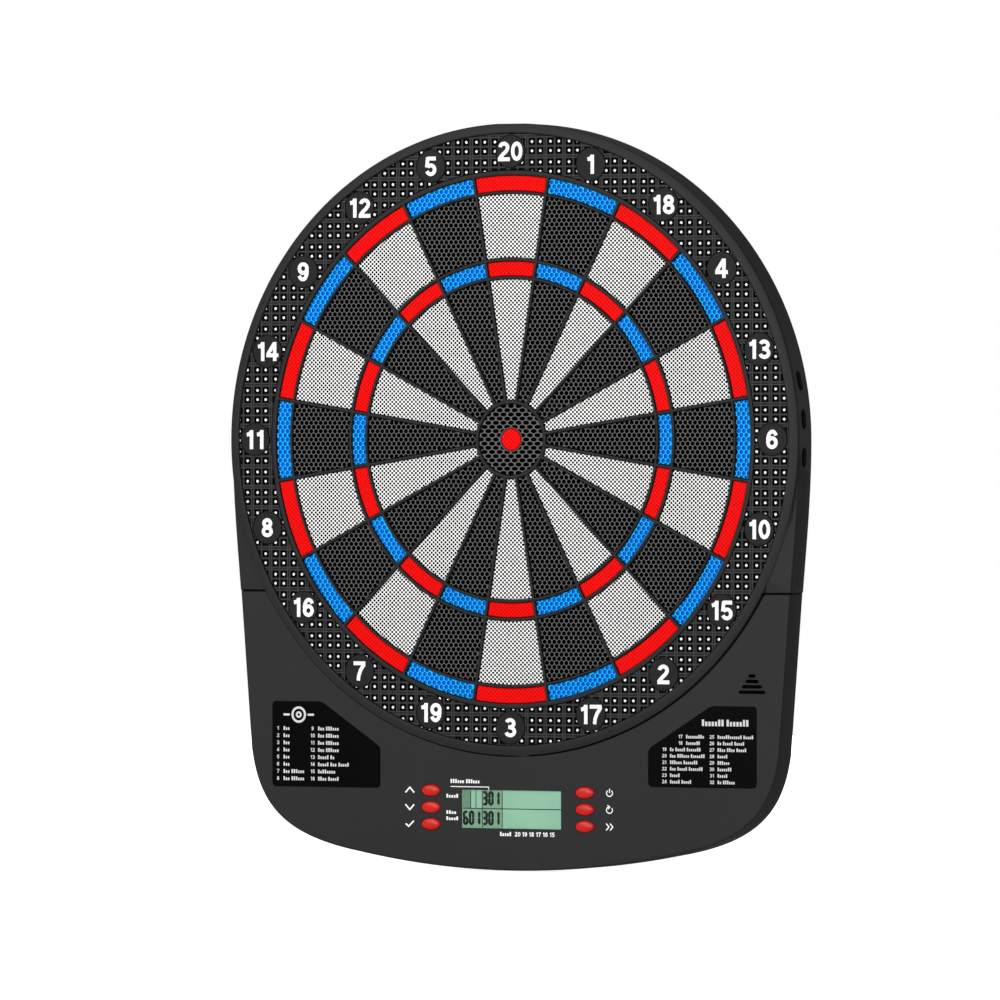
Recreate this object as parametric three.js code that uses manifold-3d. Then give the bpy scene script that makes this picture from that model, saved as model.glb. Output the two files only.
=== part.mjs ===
// Electronic dartboard for soft-tip darts. Millimetres, +Z up.
// The board faces -Y and its back lies on the plane y = 0. The origin is on the axis of the bull.
// A depth is a place along Y: the further forward, the more negative.

import * as THREE from 'three';
import { mergeVertices } from 'three/addons/utils/BufferGeometryUtils.js';
import Module from 'manifold-3d';

const wasm = await Module();
wasm.setup();

// Target
const SCORES = [20, 1, 18, 4, 13, 6, 10, 15, 2, 17, 3, 19, 7, 16, 8, 11, 14, 9, 12, 5];
const SECTOR_ANGLE = (2 * Math.PI) / SCORES.length;
const RING_RIBS = [
  [23.2, 25.4],
  [103.8, 105.7],
  [115.4, 117.4],
  [158.9, 160.6],
  [170.9, 174.0],
];
const RIB_WIDTH = 1.9;
const SPIDER_FRONT = -25.0;
const SPIDER_BACK = -15.0;
const SEGMENT_FRONT = -24.0;
const WEB_FRONT = -14.6;
const SEGMENT_BACK = -12.4;
const SEGMENT_GAP = 0.4;
const WEB_HOOK = 0.8;
const INNER_BULL_RADIUS = 7.0;

// Number ring round the target
const CATCH_INNER = 174.4;
const CATCH_OUTER = 197.6;
const CATCH_FRONT = -24.4;
const CATCH_BACK = -22.4;
const CATCH_WALL = 2.2;
const CATCH_WALL_BACK = -13.0;
const DISC_RADIUS = 10.35;
const DISC_PLACE = 186.3;
const DISC_FRONT = -25.0;

// Case
const CASE_RADIUS = 204.4;
const RIM_INNER = 198.0;
const RIM_CREST = -25.6;
const RIM_EDGE = 0.9;
const FACE_FRONT = -22.6;
const FACE_BACK = -20.4;
const CASE_BACK = -4.0;
const WALL = 2.4;
const SEAM_Z = -99.0;
const SEAM_GAP = 0.2;
const SEAM_WALL = 1.6;
const CONSOLE_X = 198.0;
const SHOULDER_CURVE = [
  [204.4, 0],
  [204.4, -35],
  [201.2, -65],
  [198.4, -98.8],
];
const CORNER_CURVE = [
  [190.2, -202.0],
  [184.7, -239.5],
  [166.0, -257.4],
  [118.0, -266.9],
];
const BOTTOM_Z = -278.9;
const BOTTOM_RADIUS = 580.0;
const CUTOUT_RADIUS = 204.8;
const CABLE_WAY = -12.0;
const RIM_WALL_END_Z = -14.0;

// Slots in both side walls that darts are kept in
const DART_SLOT_Z = [37.5, 12.9, -11.7];
const DART_SLOT_LENGTH = 13.0;
const DART_SLOT_WIDTH = 7.0;
const DART_SLOT_DEPTH = -14.8;

// Console
const WINDOW = { x: -0.85, z: -239.35, width: 71.7, height: 24.7 };
const BUTTON_COLUMNS = [-58.6, 52.4];
const BUTTON_ROWS = [-227.7, -238.6, -249.5];
const BUTTON_NAMES = [
  ['button_up', 'button_down', 'button_enter'],
  ['button_power', 'button_reset', 'button_next'],
];
const BUTTON_HALF_WIDTH = 6.75;
const BUTTON_HALF_HEIGHT = 3.85;
const BUTTON_FRONT = -24.3;
const BUTTON_FLANGE_FRONT = -20.1;
const BUTTON_BACK = -19.3;
const BUTTON_CLEARANCE = 0.35;
const SPEAKER = { x: 171.1, z: -156.5, radius: 13.5, front: -20.0, back: -12.0 };
const GRILLE_SLOTS = [5.2, 9.2, 14.0, 18.8];
const GRILLE_TOP = -151.3;
const GRILLE_PITCH = 3.47;
const GRILLE_HEIGHT = 2.3;
const GRILLE_CORNER = 1.0;
const LABEL_FRONT = -22.75;
const LABEL_BACK = -22.2;
const LABEL_RECESS = -21.9;
const LABEL_TOP = -171.0;
const LABEL_CORNER = 3.0;
const LEFT_LABEL = { left: -174.4, right: -95.7, bottom: -226.5, slantTop: -138.5, slantBottom: -200.0 };
const RIGHT_LABEL = { left: 97.8, right: 174.2, bottom: -223.2, slantTop: 142.5, slantBottom: -199.0 };

// Inside the case. Each box is left, right, front, back, bottom and top.
const RUBBER_SHEET = { radius: 172.5, front: -11.0, back: -9.8 };
const MEMBRANE = { radius: 172.5, front: -9.5, back: -9.1, tail: [-26, 6, -9.5, -9.1, -216.5, -170] };
const BACKING_BOARD = { radius: 185.0, front: -8.8, back: -6.0 };
const MAIN_BOARD = [-64, 62, -14.4, -12.8, -260, -214];
const TAIL_CONNECTOR = [-28, 8, -12.5, -8.4, -223, -216.8];
const CONTROLLER_CHIP = [22, 38, -12.5, -10.6, -246, -230];
const LENS_DEPTH = [-22.5, -21.7];
const DISPLAY_DEPTH = [-21.4, -17.6];
const KEYPAD_MAT = { halfWidth: 9.0, front: -17.9, back: -16.4, bottom: -257, top: -220 };

// Back
const COVER_INSET = 3.4;
const COVER_FLOOR = -2.0;
const COVER_LIP = -4.6;
const COVER_RIB = { halfLength: 150.0, front: -5.6, places: [-50, 50] };
const LIP_WALL = 1.8;
const SCREW_PLACES = [
  [114.03, 156.95],
  [0, 194],
  [-114.03, 156.95],
  [191.5, -88],
  [-191.5, -88],
  [146, -243],
  [-146, -243],
  [0, -266],
];
const BOSS_RADIUS = 4.2;
const BOSS_BACK = -5.0;
const SCREW_HOLE = 1.9;
const SCREW_PROFILE = [
  [0, -0.2],
  [3.2, -0.2],
  [3.2, -1.1],
  [1.5, -2.1],
  [1.5, -11.0],
  [0, -12.0],
];
const HEAD_RECESS = { radius: 3.6, front: -2.4 };
const KEYHOLE = { radius: 5.2, neck: 2.6, rise: 10.0 };
const KEYHOLES = [
  [-90, 130],
  [90, 130],
];
const CELL_RADIUS = 7.1;
const CELL_LENGTH = 50.0;
const CELL_PITCH = 14.8;
const TUB = { x: -147.5, z: -196.5, width: 56.0, height: 45.0, floor: -17.4 };
const TUB_LEDGE = 1.2;
const TUB_WALL = 1.2;
const CONTACT_HALF_HEIGHT = 20.0;

// Depths that cuts start and end at: in front of the board, inside the case, and behind the wall
const AHEAD = -30.0;
const INSIDE = -10.0;
const BEHIND = 1.0;

const GAP = 0.3;
const OVERLAP = 0.1;
const ROUND = 60;
const CASE_GREY = 0x363636;

// Solids

function signedVolume(positions, corners) {
  const [a, b, c] = [new THREE.Vector3(), new THREE.Vector3(), new THREE.Vector3()];
  let sum = 0;
  for (let i = 0; i < corners.length; i += 3) {
    a.fromArray(positions, corners[i] * 3);
    b.fromArray(positions, corners[i + 1] * 3);
    c.fromArray(positions, corners[i + 2] * 3);
    sum += a.dot(b.cross(c)) / 6;
  }
  return sum;
}

function solid(geometry) {
  geometry.deleteAttribute('normal');
  geometry.deleteAttribute('uv');
  const merged = mergeVertices(geometry, 1e-4);
  const index = merged.index.array;
  const corners = [];
  for (let i = 0; i < index.length; i += 3) {
    const [a, b, c] = [index[i], index[i + 1], index[i + 2]];
    if (a !== b && b !== c && c !== a) {
      corners.push(a, b, c);
    }
  }
  const positions = merged.attributes.position.array;
  if (signedVolume(positions, corners) < 0) {
    corners.reverse();
  }
  const vertProperties = new Float32Array(positions);
  const triVerts = new Uint32Array(corners);
  return new wasm.Manifold(new wasm.Mesh({ numProp: 3, vertProperties, triVerts }));
}

// A flat outline in X and Z, given depth from front to back.
function slab(outline, front, back) {
  const depth = back - front;
  const geometry = new THREE.ExtrudeGeometry(new THREE.Shape(outline), { depth, bevelEnabled: false });
  geometry.rotateX(Math.PI / 2);
  geometry.translate(0, back, 0);
  return solid(geometry);
}

function box(x0, x1, front, back, z0, z1) {
  const geometry = new THREE.BoxGeometry(x1 - x0, back - front, z1 - z0);
  geometry.translate((x0 + x1) / 2, (front + back) / 2, (z0 + z1) / 2);
  return solid(geometry);
}

// A profile of [radius, depth] pairs whose ends are on the axis, turned about that axis.
function spun(profile, steps) {
  return new THREE.LatheGeometry(profile.map(([radius, depth]) => new THREE.Vector2(radius, depth)), steps);
}

// A closed profile of [radius, depth] pairs, turned about the axis of the bull.
function turned(profile, steps = ROUND) {
  const points = profile.map(([radius, depth]) => new THREE.Vector2(radius, depth));
  points.push(points[0].clone());
  return solid(new THREE.LatheGeometry(points, steps, Math.PI / steps));
}

function peg(x, z, radius, front, back, steps = 12) {
  return slab(arc(x, z, radius, 0, 2 * Math.PI, steps).slice(0, steps), front, back);
}

function join(parts) {
  return parts.reduce((whole, part) => whole.add(part));
}

function cut(whole, parts) {
  return parts.reduce((rest, part) => rest.subtract(part), whole);
}

function mesh(name, shape, color, roughness, metalness = 0) {
  const data = shape.getMesh();
  const geometry = new THREE.BufferGeometry();
  geometry.setAttribute('position', new THREE.BufferAttribute(new Float32Array(data.vertProperties), 3));
  geometry.setIndex(new THREE.BufferAttribute(new Uint32Array(data.triVerts), 1));
  geometry.computeVertexNormals();
  const part = new THREE.Mesh(geometry, new THREE.MeshStandardMaterial({ color, roughness, metalness }));
  part.name = name;
  return part;
}

// Outlines, as lists of points that run anticlockwise seen from the front

function arc(x, z, radius, start, end, steps) {
  return Array.from({ length: steps + 1 }, (_, i) => {
    const angle = start + ((end - start) * i) / steps;
    return new THREE.Vector2(x + radius * Math.cos(angle), z + radius * Math.sin(angle));
  });
}

function bezier(points, steps) {
  const ends = points.map(([x, z]) => new THREE.Vector2(x, z));
  return new THREE.CubicBezierCurve(...ends).getPoints(steps);
}

function mirrored(points) {
  return points.map((p) => new THREE.Vector2(-p.x, p.y)).reverse();
}

function inset(points, distance) {
  return points.map((point, i) => {
    const before = points[(i + points.length - 1) % points.length];
    const after = points[(i + 1) % points.length];
    const into = point.clone().sub(before).normalize();
    const away = after.clone().sub(point).normalize();
    const inward = new THREE.Vector2(-into.y - away.y, into.x + away.x).normalize();
    const stretch = 1 / Math.max(0.3, inward.dot(new THREE.Vector2(-into.y, into.x)));
    return point.clone().addScaledVector(inward, distance * stretch);
  });
}

function roundedBox(x, z, width, height, radius, steps = 3) {
  const [dx, dz] = [width / 2 - radius, height / 2 - radius];
  const corners = [
    [dx, -dz, -0.5],
    [dx, dz, 0],
    [-dx, dz, 0.5],
    [-dx, -dz, 1],
  ];
  return corners.flatMap(([cx, cz, turn]) =>
    arc(x + cx, z + cz, radius, turn * Math.PI, (turn + 0.5) * Math.PI, steps),
  );
}

// The right side of the upper case, from the widest place down to the seam.
function shoulderSide() {
  return bezier(SHOULDER_CURVE, 5);
}

// The outer edge of the console, from its left end at the seam round the bottom to its right end.
function consoleSide() {
  const right = bezier(CORNER_CURVE, 6).reverse();
  const half = Math.asin(right[0].x / BOTTOM_RADIUS);
  right.push(new THREE.Vector2(CONSOLE_X, SEAM_Z - SEAM_GAP));
  const [start, end] = [-Math.PI / 2 - half, -Math.PI / 2 + half];
  const bottom = arc(0, BOTTOM_Z + BOTTOM_RADIUS, BOTTOM_RADIUS, start, end, 6);
  return [...mirrored(right), ...bottom.slice(1, -1), ...right];
}

function coverOutline() {
  const side = shoulderSide().slice(1, -1).reverse();
  const lower = consoleSide().slice(1, -1);
  const top = arc(0, 0, CASE_RADIUS, 0, Math.PI, 24);
  return inset([...lower, ...side, ...top, ...mirrored(side)], COVER_INSET);
}

// The part of a sector between two radii, its straight sides standing off the radial boundary.
function wedge(inner, outer, standOff) {
  const edge = (radius) => SECTOR_ANGLE / 2 - Math.asin(standOff / radius);
  const step = SECTOR_ANGLE / 6;
  const place = (radius, angle) => new THREE.Vector2(radius * Math.sin(angle), radius * Math.cos(angle));
  const outside = [-edge(outer), -step, step, edge(outer)].map((angle) => place(outer, angle));
  const innerAngles = inner > 50 ? [edge(inner), step, -step, -edge(inner)] : [edge(inner), -edge(inner)];
  return [...outside, ...innerAngles.map((angle) => place(inner, angle))].reverse();
}

// Target parts

function spider() {
  const rings = RING_RIBS.map(([inner, outer]) =>
    turned([
      [inner, SPIDER_FRONT],
      [outer, SPIDER_FRONT],
      [outer, SPIDER_BACK],
      [inner, SPIDER_BACK],
    ]),
  );
  const start = RING_RIBS[0][0] + 1.5;
  const end = RING_RIBS[4][1] - 1.2;
  const ribs = SCORES.map((_, i) => {
    const geometry = new THREE.BoxGeometry(RIB_WIDTH, SPIDER_BACK - SPIDER_FRONT, end - start);
    geometry.translate(0, (SPIDER_BACK + SPIDER_FRONT) / 2, (start + end) / 2);
    geometry.rotateY((i + 0.5) * SECTOR_ANGLE);
    return solid(geometry);
  });
  return join([...rings, ...ribs]);
}

function sector() {
  const standOff = RIB_WIDTH / 2 + SEGMENT_GAP;
  const segments = RING_RIBS.slice(0, -1).map(([, inner], i) => {
    const outer = RING_RIBS[i + 1][0];
    const outline = wedge(inner + SEGMENT_GAP, outer - SEGMENT_GAP, standOff);
    return slab(outline, SEGMENT_FRONT, WEB_FRONT + OVERLAP);
  });
  const web = wedge(RING_RIBS[0][1] + 1, RING_RIBS[4][0] - 1, standOff - WEB_HOOK);
  return join([slab(web, WEB_FRONT, SEGMENT_BACK), ...segments]);
}

function outerBull() {
  const outer = RING_RIBS[0][0] - SEGMENT_GAP;
  const inner = INNER_BULL_RADIUS + 0.5;
  const flange = outer + WEB_HOOK;
  return turned(
    [
      [inner, SEGMENT_FRONT],
      [outer, SEGMENT_FRONT],
      [outer, WEB_FRONT],
      [flange, WEB_FRONT],
      [flange, SEGMENT_BACK],
      [outer - 3, SEGMENT_BACK],
      [outer - 3, WEB_FRONT],
      [inner, WEB_FRONT],
    ],
    30,
  );
}

function innerBull() {
  const flangeFront = SEGMENT_BACK - 1.0;
  return turned(
    [
      [0, SEGMENT_FRONT],
      [INNER_BULL_RADIUS, SEGMENT_FRONT],
      [INNER_BULL_RADIUS, flangeFront],
      [INNER_BULL_RADIUS + 3, flangeFront],
      [INNER_BULL_RADIUS + 3, SEGMENT_BACK],
      [0, SEGMENT_BACK],
    ],
    20,
  );
}

function catchRing() {
  const plate = turned([
    [CATCH_INNER, CATCH_FRONT],
    [CATCH_OUTER, CATCH_FRONT],
    [CATCH_OUTER, CATCH_BACK],
    [CATCH_INNER + CATCH_WALL, CATCH_BACK],
    [CATCH_INNER + CATCH_WALL, CATCH_WALL_BACK],
    [CATCH_INNER, CATCH_WALL_BACK],
  ]);
  const discs = SCORES.map((_, i) => {
    const angle = i * SECTOR_ANGLE;
    const [x, z] = [DISC_PLACE * Math.sin(angle), DISC_PLACE * Math.cos(angle)];
    return peg(x, z, DISC_RADIUS, DISC_FRONT, CATCH_FRONT + 0.5);
  });
  return join([plate, ...discs]);
}

// The sensing stack behind the segments

function rubberSheet() {
  const { radius, front, back } = RUBBER_SHEET;
  return peg(0, 0, radius, front, back, 48);
}

function sensorMembrane() {
  const { radius, front, back, tail } = MEMBRANE;
  return peg(0, 0, radius, front, back, 48).add(box(...tail));
}

function backingBoard() {
  const { radius, front, back } = BACKING_BOARD;
  return peg(0, 0, radius, front, back, 48);
}

// Case parts

function dartSlots(side) {
  const round = DART_SLOT_WIDTH / 2 - 0.01;
  const outline = roundedBox(DART_SLOT_DEPTH, 0, DART_SLOT_WIDTH, DART_SLOT_LENGTH, round);
  const depth = 20;
  return DART_SLOT_Z.map((z) => {
    const geometry = new THREE.ExtrudeGeometry(new THREE.Shape(outline), { depth, bevelEnabled: false });
    geometry.rotateX(Math.PI / 2);
    geometry.rotateZ(Math.PI / 2);
    geometry.translate(side * CASE_RADIUS - depth / 2, 0, z);
    return solid(geometry);
  });
}

function bosses(places, front) {
  return places.map(([x, z]) => peg(x, z, BOSS_RADIUS, front, BOSS_BACK, 8));
}

function bossHoles(places) {
  return places.map(([x, z]) => peg(x, z, SCREW_HOLE, BOSS_BACK - 8, BOSS_BACK + 1, 8));
}

function rim() {
  const ring = turned([
    [RIM_INNER, RIM_CREST + RIM_EDGE],
    [RIM_INNER + RIM_EDGE, RIM_CREST],
    [CASE_RADIUS, FACE_FRONT],
    [CASE_RADIUS, CASE_BACK],
    [CASE_RADIUS - WALL, CASE_BACK],
    [CASE_RADIUS - WALL, FACE_BACK],
    [RIM_INNER + WALL, FACE_BACK],
    [RIM_INNER + WALL, FACE_BACK + RIM_EDGE],
    [RIM_INNER, FACE_BACK + RIM_EDGE],
  ]);
  const reach = CASE_RADIUS + WALL;
  return ring.subtract(box(-reach, reach, CABLE_WAY, BEHIND, -reach, RIM_WALL_END_Z));
}

// The flat shoulder between the round rim and the seam, on the right side.
function shoulder() {
  const side = shoulderSide();
  const start = Math.asin(side[side.length - 1].y / CASE_RADIUS);
  const inner = arc(0, 0, CASE_RADIUS - WALL / 2, start, 0, 8);
  const face = [...side].reverse().concat(inner.reverse());
  const sideInner = side.map((p, i) => new THREE.Vector2(p.x - (i ? WALL : WALL / 2), p.y));
  const wall = [...side].reverse().concat(sideInner);
  const innerX = inner[inner.length - 1].x;
  const [seamX, seamZ] = SHOULDER_CURVE[3];
  const wallFront = FACE_BACK - OVERLAP;
  const seamWall = box(innerX, seamX - WALL + OVERLAP, wallFront, BOSS_BACK, seamZ, seamZ + SEAM_WALL);
  return join([slab(face, FACE_FRONT, FACE_BACK), slab(wall, wallFront, CASE_BACK), seamWall]);
}

function upperFrame() {
  const right = shoulder();
  const left = right.mirror([1, 0, 0]);
  const upperBosses = bosses(SCREW_PLACES.slice(0, 3), FACE_BACK - WALL / 2);
  const shoulderBosses = bosses(SCREW_PLACES.slice(3, 5), FACE_BACK - OVERLAP);
  const whole = join([rim(), right, left, ...upperBosses, ...shoulderBosses]);
  return cut(whole, [...dartSlots(1), ...dartSlots(-1), ...bossHoles(SCREW_PLACES.slice(0, 5))]);
}

// A plate with its inner top corner cut off aslant. The slant is on the side nearer the middle of the board.
function labelOutline({ left, right, bottom, slantTop, slantBottom }) {
  const top = left > 0
    ? [[right, LABEL_TOP], [slantTop, LABEL_TOP], [left, slantBottom]]
    : [[right, slantBottom], [slantTop, LABEL_TOP], [left, LABEL_TOP]];
  const corners = [[left, bottom], [right, bottom], ...top];
  return corners.flatMap(([x, z], i) => {
    const corner = new THREE.Vector2(x, z);
    const before = new THREE.Vector2(...corners[(i + 4) % 5]);
    const after = new THREE.Vector2(...corners[(i + 1) % 5]);
    const start = corner.clone().add(before.sub(corner).setLength(LABEL_CORNER));
    const end = corner.clone().add(after.sub(corner).setLength(LABEL_CORNER));
    return new THREE.QuadraticBezierCurve(start, corner, end).getPoints(3);
  });
}

function labelPlate(label) {
  return slab(labelOutline(label), LABEL_FRONT, LABEL_BACK);
}

function buttonOutline(x, z, grow) {
  const turn = new THREE.EllipseCurve(x, z, BUTTON_HALF_WIDTH + grow, BUTTON_HALF_HEIGHT + grow);
  return turn.getPoints(12).slice(0, 12);
}

function consoleFascia() {
  const outer = consoleSide();
  const start = Math.asin((SEAM_Z - SEAM_GAP) / CUTOUT_RADIUS);
  const cutout = arc(0, 0, CUTOUT_RADIUS, start, -Math.PI - start, 20);
  const outline = [...outer, ...cutout];
  const wallFront = FACE_BACK - OVERLAP;
  const walls = slab(outline, wallFront, CASE_BACK).subtract(slab(inset(outline, WALL), AHEAD, BEHIND));
  const cableWay = peg(0, 0, CUTOUT_RADIUS + 1.5 * WALL, CABLE_WAY, BEHIND, ROUND);
  const places = SCREW_PLACES.slice(5);
  const lipX = CONSOLE_X - WALL;
  const lipWay = box(-lipX, lipX, BOSS_BACK, BEHIND, SEAM_Z - 1.5 * WALL, SEAM_Z + SEAM_GAP);
  const body = join([slab(outline, FACE_FRONT, FACE_BACK), cut(walls, [cableWay, lipWay])]);
  const posts = bosses(places, wallFront);
  const { x, z, width, height } = WINDOW;
  const window = slab(roundedBox(x, z, width + 2 * GAP, height + 2 * GAP, 0.8), AHEAD, INSIDE);
  const buttonHoles = BUTTON_COLUMNS.flatMap((column) =>
    BUTTON_ROWS.map((row) => slab(buttonOutline(column, row, BUTTON_CLEARANCE), AHEAD, INSIDE)),
  );
  const grille = GRILLE_SLOTS.map((length, i) => {
    const middle = GRILLE_TOP - i * GRILLE_PITCH;
    return slab(roundedBox(SPEAKER.x, middle, length, GRILLE_HEIGHT, GRILLE_CORNER), AHEAD, INSIDE);
  });
  const recesses = [LEFT_LABEL, RIGHT_LABEL].map((label) =>
    slab(inset(labelOutline(label), -GAP), AHEAD, LABEL_RECESS),
  );
  return cut(join([body, ...posts]), [window, ...buttonHoles, ...grille, ...recesses, ...bossHoles(places)]);
}

function keyhole([x, z]) {
  const { radius, neck, rise } = KEYHOLE;
  const slot = box(x - neck, x + neck, INSIDE, BEHIND, z, z + rise);
  return join([peg(x, z, radius, INSIDE, BEHIND), slot, peg(x, z + rise, neck, INSIDE, BEHIND)]);
}

function tub() {
  const grow = 2 * (TUB_LEDGE + TUB_WALL);
  const [x, z] = [TUB.x, TUB.z];
  const [halfX, halfZ] = [(TUB.width + grow) / 2, (TUB.height + grow) / 2];
  return box(x - halfX, x + halfX, TUB.floor - TUB_WALL, COVER_FLOOR + OVERLAP, z - halfZ, z + halfZ);
}

function tubHollow(grow, front, back) {
  const [halfX, halfZ] = [TUB.width / 2 + grow, TUB.height / 2 + grow];
  return box(TUB.x - halfX, TUB.x + halfX, front, back, TUB.z - halfZ, TUB.z + halfZ);
}

function rearCover() {
  const outline = coverOutline();
  const base = COVER_FLOOR + OVERLAP;
  const lip = slab(outline, COVER_LIP, base).subtract(slab(inset(outline, LIP_WALL), INSIDE, BEHIND));
  const pads = SCREW_PLACES.map(([x, z]) => peg(x, z, BOSS_RADIUS + GAP, COVER_LIP, base, 8));
  const { halfLength, front, places } = COVER_RIB;
  const ribs = places.map((z) => box(-halfLength, halfLength, front, base, z - 1, z + 1));
  const heads = SCREW_PLACES.map(([x, z]) => peg(x, z, HEAD_RECESS.radius, HEAD_RECESS.front, BEHIND));
  const holes = SCREW_PLACES.map(([x, z]) => peg(x, z, SCREW_HOLE, INSIDE, BEHIND, 8));
  const hollow = tubHollow(0, TUB.floor, BEHIND);
  const doorway = tubHollow(TUB_LEDGE, COVER_FLOOR, BEHIND);
  const plate = slab(outline, COVER_FLOOR, 0);
  const whole = join([plate, lip, ...pads, ...ribs, tub()]);
  return cut(whole, [...heads, ...holes, hollow, doorway, ...KEYHOLES.map(keyhole)]);
}

function batteryDoor() {
  const plate = tubHollow(TUB_LEDGE - GAP, COVER_FLOOR + GAP, -0.2);
  const top = TUB.z + TUB.height / 2 + TUB_LEDGE - GAP;
  const thumb = box(TUB.x - 7, TUB.x + 7, -1.0, BEHIND, top - 6, top - 2);
  return plate.subtract(thumb);
}

function screw([x, z]) {
  const geometry = spun(SCREW_PROFILE, 8);
  geometry.translate(x, 0, z);
  return solid(geometry);
}

// Console parts

function windowPane(front, back) {
  const { x, z, width, height } = WINDOW;
  return box(x - width / 2, x + width / 2, front, back, z - height / 2, z + height / 2);
}

function button(x, z) {
  const profile = [
    [0, BUTTON_FRONT],
    [0.55, BUTTON_FRONT + 0.2],
    [0.88, BUTTON_FRONT + 0.8],
    [1.0, FACE_FRONT],
    [1.0, BUTTON_FLANGE_FRONT],
    [1.18, BUTTON_FLANGE_FRONT],
    [1.18, BUTTON_BACK],
    [0, BUTTON_BACK],
  ];
  const geometry = spun(profile, 12);
  geometry.scale(BUTTON_HALF_WIDTH, 1, BUTTON_HALF_HEIGHT);
  geometry.translate(x, 0, z);
  return solid(geometry);
}

function keypadMat(x) {
  const { halfWidth, front, back, bottom, top } = KEYPAD_MAT;
  return box(x - halfWidth, x + halfWidth, front, back, bottom, top);
}

function speaker() {
  const { x, z, radius, front, back } = SPEAKER;
  const profile = [
    [0, front + 3],
    [radius - 2.5, front],
    [radius, front],
    [radius, front + 1.6],
    [radius - 5, front + 5],
    [radius - 5, back],
    [0, back],
  ];
  const geometry = spun(profile, 16);
  geometry.translate(x, 0, z);
  return solid(geometry);
}

function cell(row) {
  const profile = [
    [0, 0],
    [CELL_RADIUS, 0],
    [CELL_RADIUS, CELL_LENGTH - 1.5],
    [2.7, CELL_LENGTH - 1.2],
    [2.7, CELL_LENGTH],
    [0, CELL_LENGTH],
  ];
  const geometry = spun(profile, 12);
  geometry.translate(0, -CELL_LENGTH / 2, 0);
  geometry.rotateZ(row % 2 ? Math.PI / 2 : -Math.PI / 2);
  geometry.translate(TUB.x, TUB.floor + 0.5 + CELL_RADIUS, TUB.z + (row - 1) * CELL_PITCH);
  return solid(geometry);
}

function contactPlate(side) {
  const x = TUB.x + side * (TUB.width / 2 - 0.8);
  const [bottom, top] = [TUB.z - CONTACT_HALF_HEIGHT, TUB.z + CONTACT_HALF_HEIGHT];
  return box(x - 0.4, x + 0.4, TUB.floor + GAP, COVER_LIP, bottom, top);
}

// The whole board

const board = new THREE.Group();

board.add(mesh('upper_frame', upperFrame(), CASE_GREY, 0.6));
board.add(mesh('console_fascia', consoleFascia(), CASE_GREY, 0.6));
board.add(mesh('rear_cover', rearCover(), 0x2a2a2a, 0.65));
board.add(mesh('catch_ring', catchRing(), 0x303030, 0.65));
board.add(mesh('spider', spider(), 0x3a3a3a, 0.5));

SCORES.forEach((score, i) => {
  const part = mesh(`sector_${score}`, sector(), i % 2 ? 0x1a1a1a : 0xe8e8e8, 0.5);
  part.rotation.y = i * SECTOR_ANGLE;
  board.add(part);
});
board.add(mesh('outer_bull', outerBull(), 0x1a1a1a, 0.45));
board.add(mesh('inner_bull', innerBull(), 0xf01010, 0.45));

board.add(mesh('rubber_sheet', rubberSheet(), 0x151515, 0.9));
board.add(mesh('sensor_membrane', sensorMembrane(), 0xc8c0a0, 0.5));
board.add(mesh('backing_board', backingBoard(), 0x6a5138, 0.85));

board.add(mesh('main_board', box(...MAIN_BOARD), 0x1d5a32, 0.5));
board.add(mesh('tail_connector', box(...TAIL_CONNECTOR), 0xe6e2d6, 0.5));
board.add(mesh('controller_chip', box(...CONTROLLER_CHIP), 0x101010, 0.4));

board.add(mesh('lcd_lens', windowPane(...LENS_DEPTH), 0xdfe8e4, 0.05));
board.add(mesh('lcd_panel', windowPane(...DISPLAY_DEPTH), 0x8cc8a5, 0.3));

BUTTON_NAMES.forEach((names, column) => {
  names.forEach((name, row) => {
    board.add(mesh(name, button(BUTTON_COLUMNS[column], BUTTON_ROWS[row]), 0xe8302c, 0.35));
  });
  const side = column ? 'right' : 'left';
  board.add(mesh(`keypad_mat_${side}`, keypadMat(BUTTON_COLUMNS[column]), 0x3c3c3c, 0.9));
});
board.add(mesh('speaker', speaker(), 0x202020, 0.6));

board.add(mesh('battery_door', batteryDoor(), 0x2a2a2a, 0.65));
[0, 1, 2].forEach((row) => {
  board.add(mesh(`battery_${row + 1}`, cell(row), 0xb8863a, 0.35, 0.4));
});
board.add(mesh('battery_contacts_left', contactPlate(-1), 0xc8c8cc, 0.3, 1));
board.add(mesh('battery_contacts_right', contactPlate(1), 0xc8c8cc, 0.3, 1));

board.add(mesh('label_plate_left', labelPlate(LEFT_LABEL), 0x0a0a0a, 0.35));
board.add(mesh('label_plate_right', labelPlate(RIGHT_LABEL), 0x0a0a0a, 0.35));

SCREW_PLACES.forEach((place, i) => {
  board.add(mesh(`case_screw_${i + 1}`, screw(place), 0x9a9a9e, 0.35, 1));
});

export default board;
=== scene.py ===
import math

import bpy
import numpy as np
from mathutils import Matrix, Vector
from mathutils.geometry import delaunay_2d_cdt


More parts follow.
